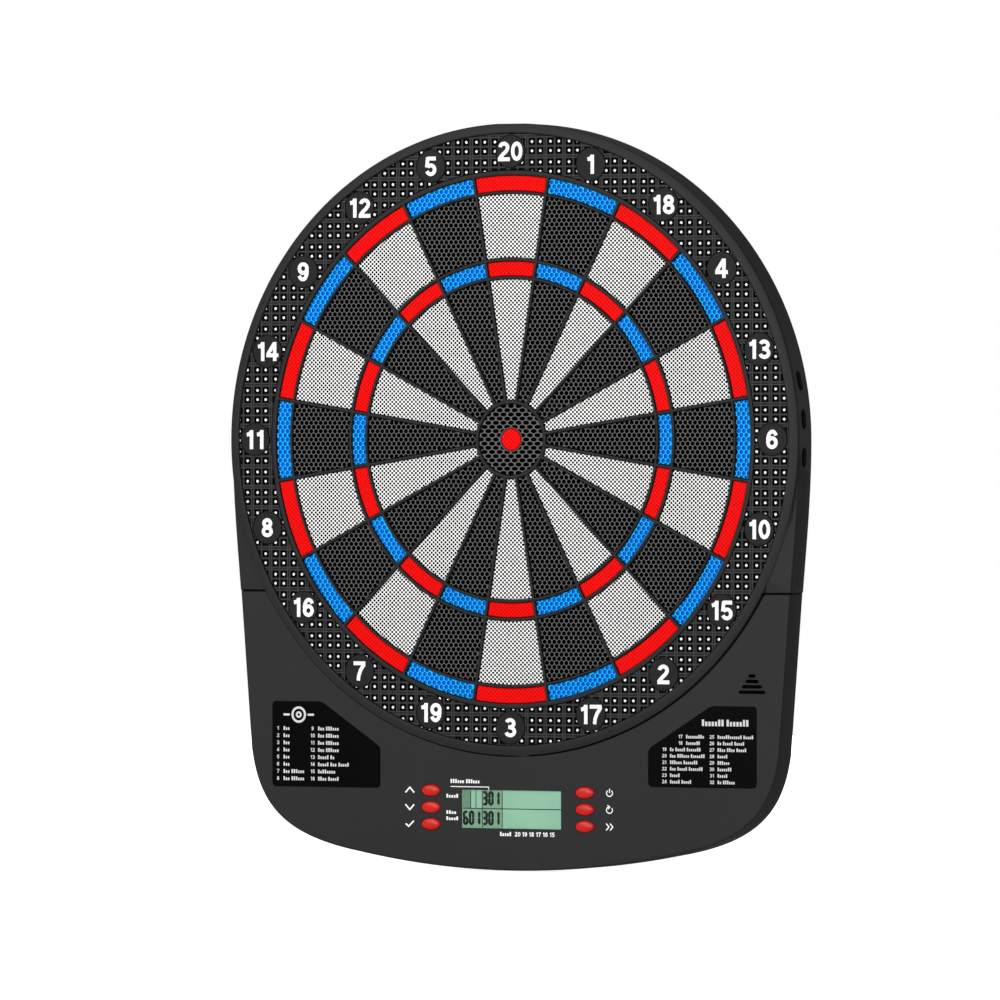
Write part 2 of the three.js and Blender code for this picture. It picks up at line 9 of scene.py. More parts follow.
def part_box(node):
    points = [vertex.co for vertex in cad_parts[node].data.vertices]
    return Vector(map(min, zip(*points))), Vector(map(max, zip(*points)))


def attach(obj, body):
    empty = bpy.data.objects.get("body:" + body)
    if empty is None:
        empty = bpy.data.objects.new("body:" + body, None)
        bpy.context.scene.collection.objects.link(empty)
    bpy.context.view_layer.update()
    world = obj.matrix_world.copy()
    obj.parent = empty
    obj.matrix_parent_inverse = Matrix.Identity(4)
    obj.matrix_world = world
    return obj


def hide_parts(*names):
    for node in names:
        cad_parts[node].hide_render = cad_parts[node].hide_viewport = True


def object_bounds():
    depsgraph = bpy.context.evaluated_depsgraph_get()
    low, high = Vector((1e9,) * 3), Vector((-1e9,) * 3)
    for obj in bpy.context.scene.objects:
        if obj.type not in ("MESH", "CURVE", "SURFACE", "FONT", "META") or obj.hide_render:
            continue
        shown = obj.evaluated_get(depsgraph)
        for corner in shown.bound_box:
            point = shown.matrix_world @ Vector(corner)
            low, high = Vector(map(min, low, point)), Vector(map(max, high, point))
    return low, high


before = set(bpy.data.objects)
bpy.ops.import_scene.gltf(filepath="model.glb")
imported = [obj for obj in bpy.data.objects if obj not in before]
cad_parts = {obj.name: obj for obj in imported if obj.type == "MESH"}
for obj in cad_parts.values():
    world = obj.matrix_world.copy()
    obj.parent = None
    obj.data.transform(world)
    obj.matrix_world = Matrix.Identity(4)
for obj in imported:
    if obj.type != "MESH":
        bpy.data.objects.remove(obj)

CAD_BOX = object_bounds()
MM = 0.001
scene = bpy.context.scene


def cad_box(node):
    """Left, right, front, back, bottom and top of a CAD node."""
    low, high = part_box(node)
    return low.x / MM, high.x / MM, low.y / MM, high.y / MM, low.z / MM, high.z / MM


# Target
SCORES = [20, 1, 18, 4, 13, 6, 10, 15, 2, 17, 3, 19, 7, 16, 8, 11, 14, 9, 12, 5]
SECTOR = 2 * math.pi / len(SCORES)
RINGS = [(23.2, 25.4), (103.8, 105.7), (115.4, 117.4), (158.9, 160.6), (170.9, 174.0)]
PARTS_OF_SECTOR = ["inner_single", "triple", "outer_single", "double"]
RIB_WIDTH = 1.9
_, _, SPIDER_FRONT, SPIDER_BACK, _, _ = cad_box("spider")
_, _, SEGMENT_FRONT, SEGMENT_BACK, _, _ = cad_box("sector_20")
FLANGE_FRONT = SEGMENT_BACK - 2.2
GAP = 0.4
HOOK = 0.8
CHAMFER = 0.35

# Number ring
CATCH_INNER, CATCH_OUTER = 174.4, 197.6
CATCH_FRONT, CATCH_BACK, CATCH_WALL_BACK = -24.4, -22.4, -13.0
_, _, DISC_FRONT, _, _, _ = cad_box("catch_ring")
DISC_RADIUS, DISC_PLACE = 10.35, 186.3

# Case
CASE_RADIUS, RIM_INNER, RIM_CREST = 204.4, 198.0, -25.6
FACE_FRONT, FACE_BACK, CASE_BACK, WALL = -22.6, -20.4, -4.0, 2.4
SEAM, SEAM_GAP = -99.0, 0.2
SHOULDER = [(204.4, 0), (204.4, -35), (201.2, -65), (198.4, -98.8)]
CONSOLE_X = 198.0
CORNER = [(190.2, -202.0), (184.7, -239.5), (166.0, -257.4), (118.0, -266.9)]
BOTTOM, BOTTOM_RADIUS = -278.9, 580.0
CUTOUT = 205.1
CABLE_WAY = -12.0


# Outlines: lists of (x, z) that run anticlockwise seen from the front

def arc(x, z, radius, start, end, steps, squash=1.0):
    turns = [start + (end - start) * i / steps for i in range(steps + 1)]
    return [(x + radius * math.cos(t), z + radius * squash * math.sin(t)) for t in turns]


def circle(x, z, radius, steps, squash=1.0):
    return arc(x, z, radius, 0, 2 * math.pi, steps, squash)[:-1]


def rectangle(left, right, bottom, top):
    return [(left, bottom), (right, bottom), (right, top), (left, top)]


def rounded(left, right, bottom, top, radius, steps=5):
    corners = [(right - radius, bottom + radius, -0.5), (right - radius, top - radius, 0),
               (left + radius, top - radius, 0.5), (left + radius, bottom + radius, 1)]
    return [p for x, z, turn in corners
            for p in arc(x, z, radius, turn * math.pi, (turn + 0.5) * math.pi, steps)]


def bezier(points, steps):
    (ax, az), (bx, bz), (cx, cz), (dx, dz) = points
    line = []
    for i in range(steps + 1):
        t = i / steps
        a, b, c, d = (1 - t) ** 3, 3 * t * (1 - t) ** 2, 3 * t * t * (1 - t), t ** 3
        line.append((a * ax + b * bx + c * cx + d * dx, a * az + b * bz + c * cz + d * dz))
    return line


def mirrored(line):
    return [(-x, z) for x, z in reversed(line)]


def offset(line, distance, closed=False):
    """The line moved to the right of its own direction, which is outwards on an outline."""
    moved = []
    for i, (x, z) in enumerate(line):
        sides = []
        if closed or i > 0:
            sides.append((x - line[i - 1][0], z - line[i - 1][1]))
        if closed or i < len(line) - 1:
            ahead = line[(i + 1) % len(line)]
            sides.append((ahead[0] - x, ahead[1] - z))
        rights = [(dz / math.hypot(dx, dz), -dx / math.hypot(dx, dz)) for dx, dz in sides]
        mx, mz = sum(r[0] for r in rights), sum(r[1] for r in rights)
        length = math.hypot(mx, mz)
        mx, mz = mx / length, mz / length
        stretch = 1 / max(0.35, mx * rights[0][0] + mz * rights[0][1])
        moved.append((x + mx * distance * stretch, z + mz * distance * stretch))
    return moved


def edge_distance(outline, closed=True):
    """A function that gives how far a point lies from the nearest edge of an outline."""
    start = np.array(outline, float)
    end = np.roll(start, -1, axis=0)
    if not closed:
        start, end = start[:-1], end[:-1]
    along = end - start
    square = (along ** 2).sum(1)

    def distance(x, z):
        share = np.clip(((np.array([x, z]) - start) * along).sum(1) / square, 0, 1)
        return float(np.hypot(*(start + along * share[:, None] - [x, z]).T).min())

    return distance


def fillet(inside, radius):
    """How far a rounded edge has fallen back at that distance inside its outline."""
    if inside >= radius:
        return 0.0
    return radius - math.sqrt(max(0.0, radius ** 2 - (radius - inside) ** 2))


# Solids

class Plan:
    """Outlines laid over one another. Each is known by its number, and a band is known by two."""

    def __init__(self):
        self.points, self.loops = [], []

    def outline(self, loop):
        start = len(self.points)
        self.points += [Vector(p) for p in loop]
        self.loops.append(list(range(start, len(self.points))))
        return len(self.loops) - 1

    def band(self, line, width, closed=False):
        right, left = offset(line, width / 2, closed), offset(line, -width / 2, closed)
        if closed:
            return self.outline(right), self.outline(left)
        return self.outline(right + left[::-1]), None

    def shape(self, outer, inner=None):
        return self.outline(outer), None if inner is None else self.outline(inner)

    def cells(self):
        points, _, cells, _, _, origins = delaunay_2d_cdt(self.points, [], self.loops, 1, 1e-5)
        return [(p.x, p.y) for p in points], cells, [frozenset(o) for o in origins]


def in_band(inside, band):
    return band[0] in inside and band[1] not in inside


def in_any(inside, bands):
    return any(in_band(inside, band) for band in bands)


def relief(plan, zone_of):
    """A closed solid over a plan. zone_of takes the numbers of the outlines that a cell lies in, and gives
    its front and back depths, each a number or a function of x and z, and its material, or None."""
    points, cells, origins = plan.cells()
    known = {}
    kept = []
    for cell, inside in zip(cells, origins):
        if inside not in known:
            known[inside] = zone_of(inside)
        if known[inside] is not None:
            kept.append((cell, known[inside]))
    depths = {}

    def depth(value, v):
        if not callable(value):
            return round(value, 5)
        key = (value, v)
        if key not in depths:
            depths[key] = round(value(*points[v]), 5)
        return depths[key]

    ends, levels, owner = [], {}, {}
    for n, (cell, (front, back, _)) in enumerate(kept):
        pair = {v: (depth(front, v), depth(back, v)) for v in cell}
        ends.append(pair)
        for v in cell:
            levels.setdefault(v, set()).update(pair[v])
        for a, b in zip(cell, [*cell[1:], cell[0]]):
            owner[a, b] = n
    levels = {v: sorted(found) for v, found in levels.items()}
    verts, faces, materials, number = [], [], [], {}

    def at(v, level):
        key = (v, level)
        if key not in number:
            number[key] = len(verts)
            verts.append((points[v][0], level, points[v][1]))
        return number[key]

    def wall(a, b, front_a, back_a, front_b, back_b, material):
        down = [at(a, y) for y in levels[a] if front_a <= y <= back_a]
        up = [at(b, y) for y in reversed(levels[b]) if front_b <= y <= back_b]
        if len(down) + len(up) > 2:
            faces.append(down + up)
            materials.append(material)

    for n, (cell, (_, _, material)) in enumerate(kept):
        faces.append([at(v, ends[n][v][0]) for v in cell])
        faces.append([at(v, ends[n][v][1]) for v in reversed(cell)])
        materials += [material, material]
        for a, b in zip(cell, [*cell[1:], cell[0]]):
            (front_a, back_a), (front_b, back_b) = ends[n][a], ends[n][b]
            other = owner.get((b, a))
            if other is None:
                wall(a, b, front_a, back_a, front_b, back_b, material)
                continue
            (far_a, deep_a), (far_b, deep_b) = ends[other][a], ends[other][b]
            if front_a < far_a or front_b < far_b:
                wall(a, b, front_a, far_a, front_b, far_b, kept[other][1][2])
            if back_a > deep_a or back_b > deep_b:
                wall(a, b, deep_a, back_a, deep_b, back_b, material)
    return verts, faces, materials


def turned(profile, steps, x=0.0, z=0.0, wide=1.0, high=1.0):
    """A profile of (radius, depth) with both ends on the axis, turned about that axis."""
    verts, faces, rows = [], [], []
    for radius, y in profile:
        start = len(verts)
        if radius == 0:
            verts.append((x, y, z))
            rows.append([start] * steps)
        else:
            verts += [(px, y, pz) for px, pz in circle(x, z, radius, steps)]
            rows.append([start + i for i in range(steps)])
    verts = [(x + (vx - x) * wide, vy, z + (vz - z) * high) for vx, vy, vz in verts]
    for upper, lower in zip(rows, rows[1:]):
        for i in range(steps):
            j = (i + 1) % steps
            face = [upper[i], upper[j], lower[j], lower[i]]
            faces.append([v for k, v in enumerate(face) if v != face[k - 1]])
    return verts, [face[::-1] for face in faces], [0] * len(faces)


def piece(name, solid, materials, body, nodes=(), smooth=None):
    verts, faces, indices = solid
    mesh = bpy.data.meshes.new(name)
    mesh.from_pydata([(x * MM, y * MM, z * MM) for x, y, z in verts], [], faces)
    for material in materials:
        mesh.materials.append(material)
    mesh.polygons.foreach_set("material_index", indices)
    if smooth:
        mesh.shade_smooth()
        mesh.set_sharp_from_angle(angle=math.radians(smooth))
    mesh.update()
    obj = bpy.data.objects.new(name, mesh)
    scene.collection.objects.link(obj)
    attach(obj, body)
    if nodes:
        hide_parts(*nodes)
    return obj


# Shared surface effects

def new_group(name, inputs, outputs):
    group = bpy.data.node_groups.new(name, "ShaderNodeTree")
    for label, kind in inputs:
        group.interface.new_socket(label, in_out="INPUT", socket_type=kind)
    for label, kind in outputs:
        group.interface.new_socket(label, in_out="OUTPUT", socket_type=kind)
    return group, group.nodes.new("NodeGroupInput"), group.nodes.new("NodeGroupOutput")


def noise(tree, coordinates, scale, detail, roughness=0.5):
    node = tree.nodes.new("ShaderNodeTexNoise")
    node.inputs["Scale"].default_value = scale
    node.inputs["Detail"].default_value = detail
    node.inputs["Roughness"].default_value = roughness
    tree.links.new(coordinates, node.inputs["Vector"])
    return node.outputs["Fac"]


def ranged(tree, value, low, high, new_low, new_high):
    node = tree.nodes.new("ShaderNodeMapRange")
    node.inputs["From Min"].default_value = low
    node.inputs["From Max"].default_value = high
    node.inputs["To Min"].default_value = new_low
    node.inputs["To Max"].default_value = new_high
    tree.links.new(value, node.inputs["Value"])
    return node.outputs["Result"]


def math_node(tree, operation, first, second):
    node = tree.nodes.new("ShaderNodeMath")
    node.operation = operation
    for socket, value in zip(node.inputs, (first, second)):
        if isinstance(value, (int, float)):
            socket.default_value = value
        else:
            tree.links.new(value, socket)
    return node.outputs[0]


def bump(tree, height, strength, distance):
    node = tree.nodes.new("ShaderNodeBump")
    node.inputs["Distance"].default_value = distance
    if isinstance(strength, (int, float)):
        node.inputs["Strength"].default_value = strength
    else:
        tree.links.new(strength, node.inputs["Strength"])
    tree.links.new(height, node.inputs["Height"])
    return node.outputs["Normal"]


def moulded_surface():
    """Moulded plastic: a fine grain, and a slow drift of colour and gloss over the part."""
    sockets = [("Colour", "NodeSocketColor"), ("Roughness", "NodeSocketFloat"), ("Grain", "NodeSocketFloat"),
               ("Drift", "NodeSocketFloat")]
    results = [("Colour", "NodeSocketColor"), ("Roughness", "NodeSocketFloat"),
               ("Normal", "NodeSocketVector")]
    group, given, made = new_group("moulded_surface", sockets, results)
    place = group.nodes.new("ShaderNodeTexCoord").outputs["Object"]
    slow = noise(group, place, 22.0, 4.0)
    grain = noise(group, place, 2600.0, 2.0, 0.6)
    shade = ranged(group, slow, 0.3, 0.7, -1.0, 1.0)
    share = math_node(group, "MULTIPLY_ADD", shade, given.outputs["Drift"])
    share.node.inputs[2].default_value = 1.0
    tint = group.nodes.new("ShaderNodeVectorMath")
    tint.operation = "SCALE"
    group.links.new(given.outputs["Colour"], tint.inputs[0])
    group.links.new(share, tint.inputs["Scale"])
    group.links.new(tint.outputs["Vector"], made.inputs["Colour"])
    speck = ranged(group, grain, 0.3, 0.7, -0.04, 0.04)
    rough = math_node(group, "ADD", given.outputs["Roughness"], speck)
    group.links.new(rough, made.inputs["Roughness"])
    group.links.new(bump(group, grain, given.outputs["Grain"], 0.00006), made.inputs["Normal"])
    return group


def brushed_surface():
    """Plated steel with fine marks along one direction."""
    group, given, made = new_group("brushed_surface", [("Colour", "NodeSocketColor")],
                                   [("Colour", "NodeSocketColor"), ("Roughness", "NodeSocketFloat"),
                                    ("Normal", "NodeSocketVector")])
    place = group.nodes.new("ShaderNodeTexCoord").outputs["Object"]
    stretch = group.nodes.new("ShaderNodeVectorMath")
    stretch.operation = "MULTIPLY"
    stretch.inputs[1].default_value = (1.0, 1.0, 0.06)
    group.links.new(place, stretch.inputs[0])
    marks = noise(group, stretch.outputs["Vector"], 3500.0, 3.0, 0.6)
    group.links.new(given.outputs["Colour"], made.inputs["Colour"])
    group.links.new(ranged(group, marks, 0.3, 0.7, 0.24, 0.42), made.inputs["Roughness"])
    group.links.new(bump(group, marks, 0.3, 0.00002), made.inputs["Normal"])
    return group


def flecked_surface():
    """Two colours mixed in flecks of a given size, as in pressed fibre and laminate."""
    group, given, made = new_group(
        "flecked_surface",
        [("Colour", "NodeSocketColor"), ("Fleck", "NodeSocketColor"), ("Size", "NodeSocketFloat")],
        [("Colour", "NodeSocketColor"), ("Normal", "NodeSocketVector")])
    place = group.nodes.new("ShaderNodeTexCoord").outputs["Object"]
    flecks = noise(group, place, 300.0, 5.0, 0.7)
    group.links.new(given.outputs["Size"], flecks.node.inputs["Scale"])
    mix = group.nodes.new("ShaderNodeMix")
    mix.data_type = "RGBA"
    group.links.new(ranged(group, flecks, 0.42, 0.62, 0.0, 1.0), mix.inputs["Factor"])
    group.links.new(given.outputs["Colour"], mix.inputs[6])
    group.links.new(given.outputs["Fleck"], mix.inputs[7])
    group.links.new(mix.outputs[2], made.inputs["Colour"])
    group.links.new(bump(group, flecks, 0.4, 0.0001), made.inputs["Normal"])
    return group


MOULDED = moulded_surface()
BRUSHED = brushed_surface()
FLECKED = flecked_surface()


def shaded(name, group, values):
    """A material whose Principled surface takes colour, gloss and normal from a shared effect."""
    material = bpy.data.materials.new(name)
    material.use_nodes = True
    tree = material.node_tree
    surface = tree.nodes["Principled BSDF"]
    effect = tree.nodes.new("ShaderNodeGroup")
    effect.node_tree = group
    for label, value in values.items():
        effect.inputs[label].default_value = value
    for label, target in (("Colour", "Base Color"), ("Roughness", "Roughness"), ("Normal", "Normal")):
        if label in effect.outputs:
            tree.links.new(effect.outputs[label], surface.inputs[target])
    return material, surface


def plastic(name, colour, roughness, grain=0.25, drift=0.05, gloss=0.5):
    values = {"Colour": (*colour, 1), "Roughness": roughness, "Grain": grain, "Drift": drift}
    material, surface = shaded(name, MOULDED, values)
    surface.inputs["Specular IOR Level"].default_value = gloss
    return material


def metal(name, colour):
    material, surface = shaded(name, BRUSHED, {"Colour": (*colour, 1)})
    surface.inputs["Metallic"].default_value = 1.0
    return material


def flecked(name, colour, fleck, size, roughness):
    values = {"Colour": (*colour, 1), "Fleck": (*fleck, 1), "Size": size}
    material, surface = shaded(name, FLECKED, values)
    surface.inputs["Roughness"].default_value = roughness
    return material


def clear(name):
    """A clear window: what is behind shows through, and its outside is glossy at a grazing view."""
    material = bpy.data.materials.new(name)
    material.use_nodes = True
    tree = material.node_tree
    tree.nodes.remove(tree.nodes["Principled BSDF"])
    through = tree.nodes.new("ShaderNodeBsdfTransparent")
    through.inputs["Color"].default_value = (0.96, 0.98, 0.97, 1)
    gloss = tree.nodes.new("ShaderNodeBsdfGlossy")
    gloss.inputs["Roughness"].default_value = 0.06
    fresnel = tree.nodes.new("ShaderNodeFresnel")
    fresnel.inputs["IOR"].default_value = 1.45
    geometry = tree.nodes.new("ShaderNodeNewGeometry")
    outside = tree.nodes.new("ShaderNodeMath")
    outside.operation = "SUBTRACT"
    outside.use_clamp = True
    tree.links.new(fresnel.outputs["Fac"], outside.inputs[0])
    tree.links.new(geometry.outputs["Backfacing"], outside.inputs[1])
    mix = tree.nodes.new("ShaderNodeMixShader")
    tree.links.new(outside.outputs["Value"], mix.inputs["Fac"])
    tree.links.new(through.outputs["BSDF"], mix.inputs[1])
    tree.links.new(gloss.outputs["BSDF"], mix.inputs[2])
    tree.links.new(mix.outputs["Shader"], tree.nodes["Material Output"].inputs["Surface"])
    return material


CASE = plastic("case_plastic", (0.0202, 0.0202, 0.0205), 0.5, gloss=0.14)
COVER = plastic("cover_plastic", (0.022, 0.022, 0.0225), 0.55, grain=0.4, gloss=0.25)
RING = plastic("ring_plastic", (0.012, 0.012, 0.0123), 0.5, gloss=0.12)
# A lighter grey than the ring's own plastic: a painted highlight on the tops of the ring's ribs.
RIDGE_HIGHLIGHT = plastic("ring_ridge_highlight", (0.055, 0.055, 0.056), 0.45, gloss=0.15)
# Near-black painted shade: it colours the floors and walls of the number ring's pits, and the seam groove and
# tongues of the upper case.
PIT_SHADOW = plastic("pit_shadow", (0.002, 0.002, 0.002), 0.6, gloss=0.03)
PIN = plastic("pin_white", (0.9, 0.9, 0.89), 0.45)
INK = plastic("white_ink", (0.97, 0.97, 0.96), 0.5, grain=0.1)
PRINT = plastic("label_ink", (0.66, 0.66, 0.66), 0.5, grain=0.1)
SPIDER = plastic("spider_plastic", (0.016, 0.016, 0.0164), 0.45, gloss=0.14)
WHITE = plastic("segment_white", (0.96, 0.96, 0.95), 0.45, grain=0.15, drift=0.02)
# Near-black for the walls and floors of the white segments' holes: painted shade inside each hole, and on the
# floor the dark sheet that shows through.
WHITE_HOLE_SHADE = plastic("segment_white_hole_shade", (0.003, 0.003, 0.003), 0.7, gloss=0.03)
BLACK = plastic("segment_black", (0.1, 0.1, 0.1), 0.45, gloss=0.3)
# Near-black for the walls and floors of the black segments' holes: painted shade inside each hole, and on the
# floor the dark sheet that shows through.
BLACK_HOLE_SHADE = plastic("segment_black_hole_shade", (0.001, 0.001, 0.001), 0.7, gloss=0.03)
BLUE = plastic("segment_blue", (0.008, 0.53, 0.98), 0.42, grain=0.15, drift=0.02, gloss=0.12)
# A darker copy of the blue: painted shade on the walls and floors of the blue segments' holes.
BLUE_HOLE_SHADE = plastic("segment_blue_hole_shade", (0.001, 0.18, 0.74), 0.6, gloss=0.05)
RED = plastic("segment_red", (0.93, 0.0006, 0.0006), 0.42, grain=0.15, drift=0.02, gloss=0.07)
# A darker copy of the red: painted shade on the walls and floors of the red segments' holes.
RED_HOLE_SHADE = plastic("segment_red_hole_shade", (0.74, 0.0005, 0.0005), 0.6, gloss=0.05)
BUTTON = plastic("button_red", (0.6, 0.011, 0.008), 0.3, grain=0.1, gloss=0.28)
LABEL = plastic("label_gloss", (0.002, 0.002, 0.0022), 0.25, grain=0.04, gloss=0.03)
# The display greens get a slow random drift of tone, which also stands in for a soft painted highlight across
# the display.
DISPLAY = plastic("display_green", (0.293, 0.563, 0.394), 0.35, grain=0.02, drift=0.06)
DISPLAY_LEFT = plastic("display_green_left", (0.208, 0.4, 0.255), 0.35, grain=0.02, drift=0.06)
DISPLAY_SHADE = plastic("display_green_shade", (0.125, 0.262, 0.16), 0.35, grain=0.02)
DISPLAY_INK = plastic("display_segment", (0.001, 0.004, 0.003), 0.5, grain=0.02, gloss=0.05)
CLEAR = clear("lens_clear")
SCREW = metal("screw_metal", (0.42, 0.42, 0.43))
CONTACT = metal("contact_metal", (0.6, 0.6, 0.62))
RUBBER = plastic("rubber_sheet", (0.008, 0.008, 0.008), 0.85, grain=0.5, gloss=0.2)
KEYPAD = plastic("keypad_rubber", (0.045, 0.045, 0.045), 0.8, grain=0.3, gloss=0.2)
FILM = plastic("membrane_film", (0.55, 0.5, 0.34), 0.3, grain=0.05, drift=0.08)
NYLON = plastic("connector_nylon", (0.75, 0.72, 0.65), 0.4)
RESIN = plastic("chip_resin", (0.006, 0.006, 0.006), 0.25, grain=0.1)
CONE = plastic("speaker_case", (0.0015, 0.0015, 0.0015), 0.6, gloss=0.02)
WRAP = plastic("battery_wrap", (0.45, 0.22, 0.04), 0.25, grain=0.03, drift=0.1)
FIBRE = flecked("fibreboard", (0.16, 0.09, 0.045), (0.09, 0.05, 0.025), 900.0, 0.8)
BOARD = flecked("board_laminate", (0.012, 0.1, 0.03), (0.02, 0.15, 0.05), 1200.0, 0.3)


# The target

def around(radius, angle):
    """A point at a radius, its angle measured clockwise from the top."""
    return radius * math.sin(angle), radius * math.cos(angle)


def wedge(inner, outer, stand_off, middle):
    """The part of a sector between two radii. Its straight sides stand off the sector's edges."""
    def edge(radius):
        return SECTOR / 2 - math.asin(stand_off / radius)

    def run(radius):
        steps = max(2, round(radius * SECTOR / 2.5))
        return [around(radius, middle - edge(radius) * (1 - 2 * i / steps)) for i in range(steps + 1)]

    return run(inner) + run(outer)[::-1]


def inside_wedge(x, z, inner, outer, stand_off, middle):
    """How far a point lies inside the wedge. It is negative outside."""
    radius = math.hypot(x, z)
    angle = abs((math.atan2(x, z) - middle + math.pi) % (2 * math.pi) - math.pi)
    return min(radius - inner, outer - radius, radius * math.sin(SECTOR / 2 - angle) - stand_off)


HOLE_PATTERNS = {
    "fine": {"across": 2.87, "up": 1.36, "radius": 0.83, "squash": 1.0, "sides": 8},
    "red": {"across": 2.87, "up": 1.36, "radius": 0.76, "squash": 1.0, "sides": 8},
    "coarse": {"across": 3.46, "up": 2.72, "radius": 1.49, "squash": 1.0, "sides": 12},
    "oval": {"across": 5.45, "up": 2.7, "radius": 2.25, "squash": 0.62, "sides": 14},
}


def holes(plan, pattern, room, box):
    """The pattern's holes that reach far enough into a shape, laid out on one grid for the whole board."""
    grid = HOLE_PATTERNS[pattern]
    left, right, bottom, top = box
    numbers = set()
    for row in range(math.floor(bottom / grid["up"]), math.ceil(top / grid["up"]) + 1):
        z = row * grid["up"]
        shift = (row % 2) / 2
        for column in range(math.floor(left / grid["across"]) - 1, math.ceil(right / grid["across"]) + 1):
            x = (column + shift) * grid["across"]
            if room(x, z) > -0.5 * grid["radius"] * grid["squash"]:
                loop = circle(x, z, grid["radius"], grid["sides"], grid["squash"])
                numbers.add(plan.outline(loop))
    return numbers


def tip_plate(outline, hole, room, pattern, floor, flange,
              flange_front=FLANGE_FRONT, hollow=None, collar=None):
    """A plate with holes for the tips: a chamfered front, a flange behind, and holes with a floor.
    outline takes how far to grow, hollow is an outline within which the plate ends at its flange's front, and
    collar is one within which no hole is cut."""
    plan = Plan()
    edge = plan.shape(outline(0), hole and hole(0))
    plan.shape(outline(-CHAMFER), hole and hole(CHAMFER))
    skirt = plan.shape(outline(flange))
    thin = plan.outline(hollow) if hollow else None
    whole = plan.outline(collar) if collar else None
    xs, zs = zip(*outline(0))
    cut = holes(plan, pattern, room, (min(xs), max(xs), min(zs), max(zs)))

    def front(x, z):
        return SEGMENT_FRONT + CHAMFER * (1 - min(1.0, max(0.0, room(x, z)) / CHAMFER))

    def zone(inside):
        back = flange_front if thin in inside else SEGMENT_BACK
        if in_band(inside, edge):
            # Cells in a hole take the second material, which paints shade on the hole's walls and floor.
            if inside & cut and whole not in inside:
                return floor, back, 1
            return front, back, 0
        if in_band(inside, skirt) and thin not in inside:
            return flange_front, back, 0
        return None

    return relief(plan, zone)


# Each look: web material, hole material (painted shade in the holes), hole pattern, hole depth and a slot
# name.
LOOKS = {
    "white": (WHITE, WHITE_HOLE_SHADE, "fine", 4.6, "segment_white"),
    "red": (RED, RED_HOLE_SHADE, "red", 0.3, "segment_red"),
    "black": (BLACK, BLACK_HOLE_SHADE, "coarse", 5.0, "segment_black"),
    "blue": (BLUE, BLUE_HOLE_SHADE, "coarse", 1.4, "segment_blue"),
}


def segment(ring, middle, pattern, deep):
    inner, outer = RINGS[ring][1] + GAP, RINGS[ring + 1][0] - GAP
    stand_off = RIB_WIDTH / 2 + GAP

    def room(x, z):
        return inside_wedge(x, z, inner, outer, stand_off, middle)

    def outline(grow):
        return wedge(inner - grow, outer + grow, stand_off - grow, middle)

    return tip_plate(outline, None, room, pattern, SEGMENT_FRONT + deep, HOOK)


for turn, score in enumerate(SCORES):
    single, multiple = ("black", "blue") if turn % 2 else ("white", "red")
    for ring, kind in enumerate(PARTS_OF_SECTOR):
        web, hole, pattern, deep, slot = LOOKS[multiple if ring % 2 else single]
        plate = segment(ring, turn * SECTOR, pattern, deep)
        piece(f"{kind}_{score}", plate, [web, hole], f"sector_{score}", [f"sector_{score}"])

BULL_OUTER, BULL_RADIUS = RINGS[0][0] - GAP, cad_box("inner_bull")[1] - 3.0
OUTER_BULL_HOLE = BULL_RADIUS + 0.5
outer_bull = tip_plate(
    lambda grow: circle(0, 0, BULL_OUTER + grow, 96), lambda grow: circle(0, 0, OUTER_BULL_HOLE + grow, 48),
    lambda x, z: min(BULL_OUTER - math.hypot(x, z), math.hypot(x, z) - OUTER_BULL_HOLE),
    "oval", SEGMENT_FRONT + 5.0, HOOK, hollow=circle(0, 0, BULL_OUTER - 3, 72),
    collar=circle(0, 0, OUTER_BULL_HOLE + 0.6, 48))
piece("outer_bull_plate", outer_bull, [BLACK, BLACK_HOLE_SHADE], "outer_bull", ["outer_bull"])
inner_bull = tip_plate(
    lambda grow: circle(0, 0, BULL_RADIUS + grow, 48), None, lambda x, z: BULL_RADIUS - math.hypot(x, z),
    "red", SEGMENT_FRONT + 0.3, 3.0, flange_front=SEGMENT_BACK - 0.8)
piece("inner_bull_plate", inner_bull, [RED, RED_HOLE_SHADE], "inner_bull", ["inner_bull"])


# The spider

ROUNDING = (0.15, 0.35, 0.6)


def spider():
    plan = Plan()
    start, end = RINGS[0][0] + 1.5, RINGS[4][1] - 1.2
    lines = [(circle(0, 0, (a + b) / 2, round(72 + 1.3 * b)), b - a, True) for a, b in RINGS]
    turns = [(i + 0.5) * SECTOR for i in range(len(SCORES))]
    lines += [([around(start, t), around(end, t)], RIB_WIDTH, False) for t in turns]
    bands = [plan.band(*line) for line in lines]
    for line, width, closed in lines:
        for step in ROUNDING:
            plan.band(line, width - 2 * step, closed)

    def front(x, z):
        radius = math.hypot(x, z)
        room = max(min(radius - a, b - radius) for a, b in RINGS)
        if start < radius < end:
            turn = math.atan2(x, z) / SECTOR - 0.5
            aside = abs(turn - round(turn)) * SECTOR
            room = max(room, RIB_WIDTH / 2 - radius * math.sin(aside))
        return SPIDER_FRONT + 0.9 * fillet(max(0.0, room), ROUNDING[-1])

    return relief(plan, lambda inside: (front, SPIDER_BACK, 0) if in_any(inside, bands) else None)


piece("spider_grid", spider(), [SPIDER], "casing", ["spider"], smooth=40)


# The number ring

PIN_PITCH, PIN_ASIDE, PIN_RADIUS, PIT_HALF = (13.33, 13.35), 3.0, 0.9, 2.2
PIN_ORIGIN = (5.0, 2.5)
RIDGE_WIDTH, RIDGE_ASIDE = 0.38, 0.85
RING_WALL = 2.2
GROOVE, GROOVE_DEPTH = 0.55, 0.9
PIT_DEPTH, PIN_RISE, RIDGE_RISE = 1.5, 0.1, 0.25


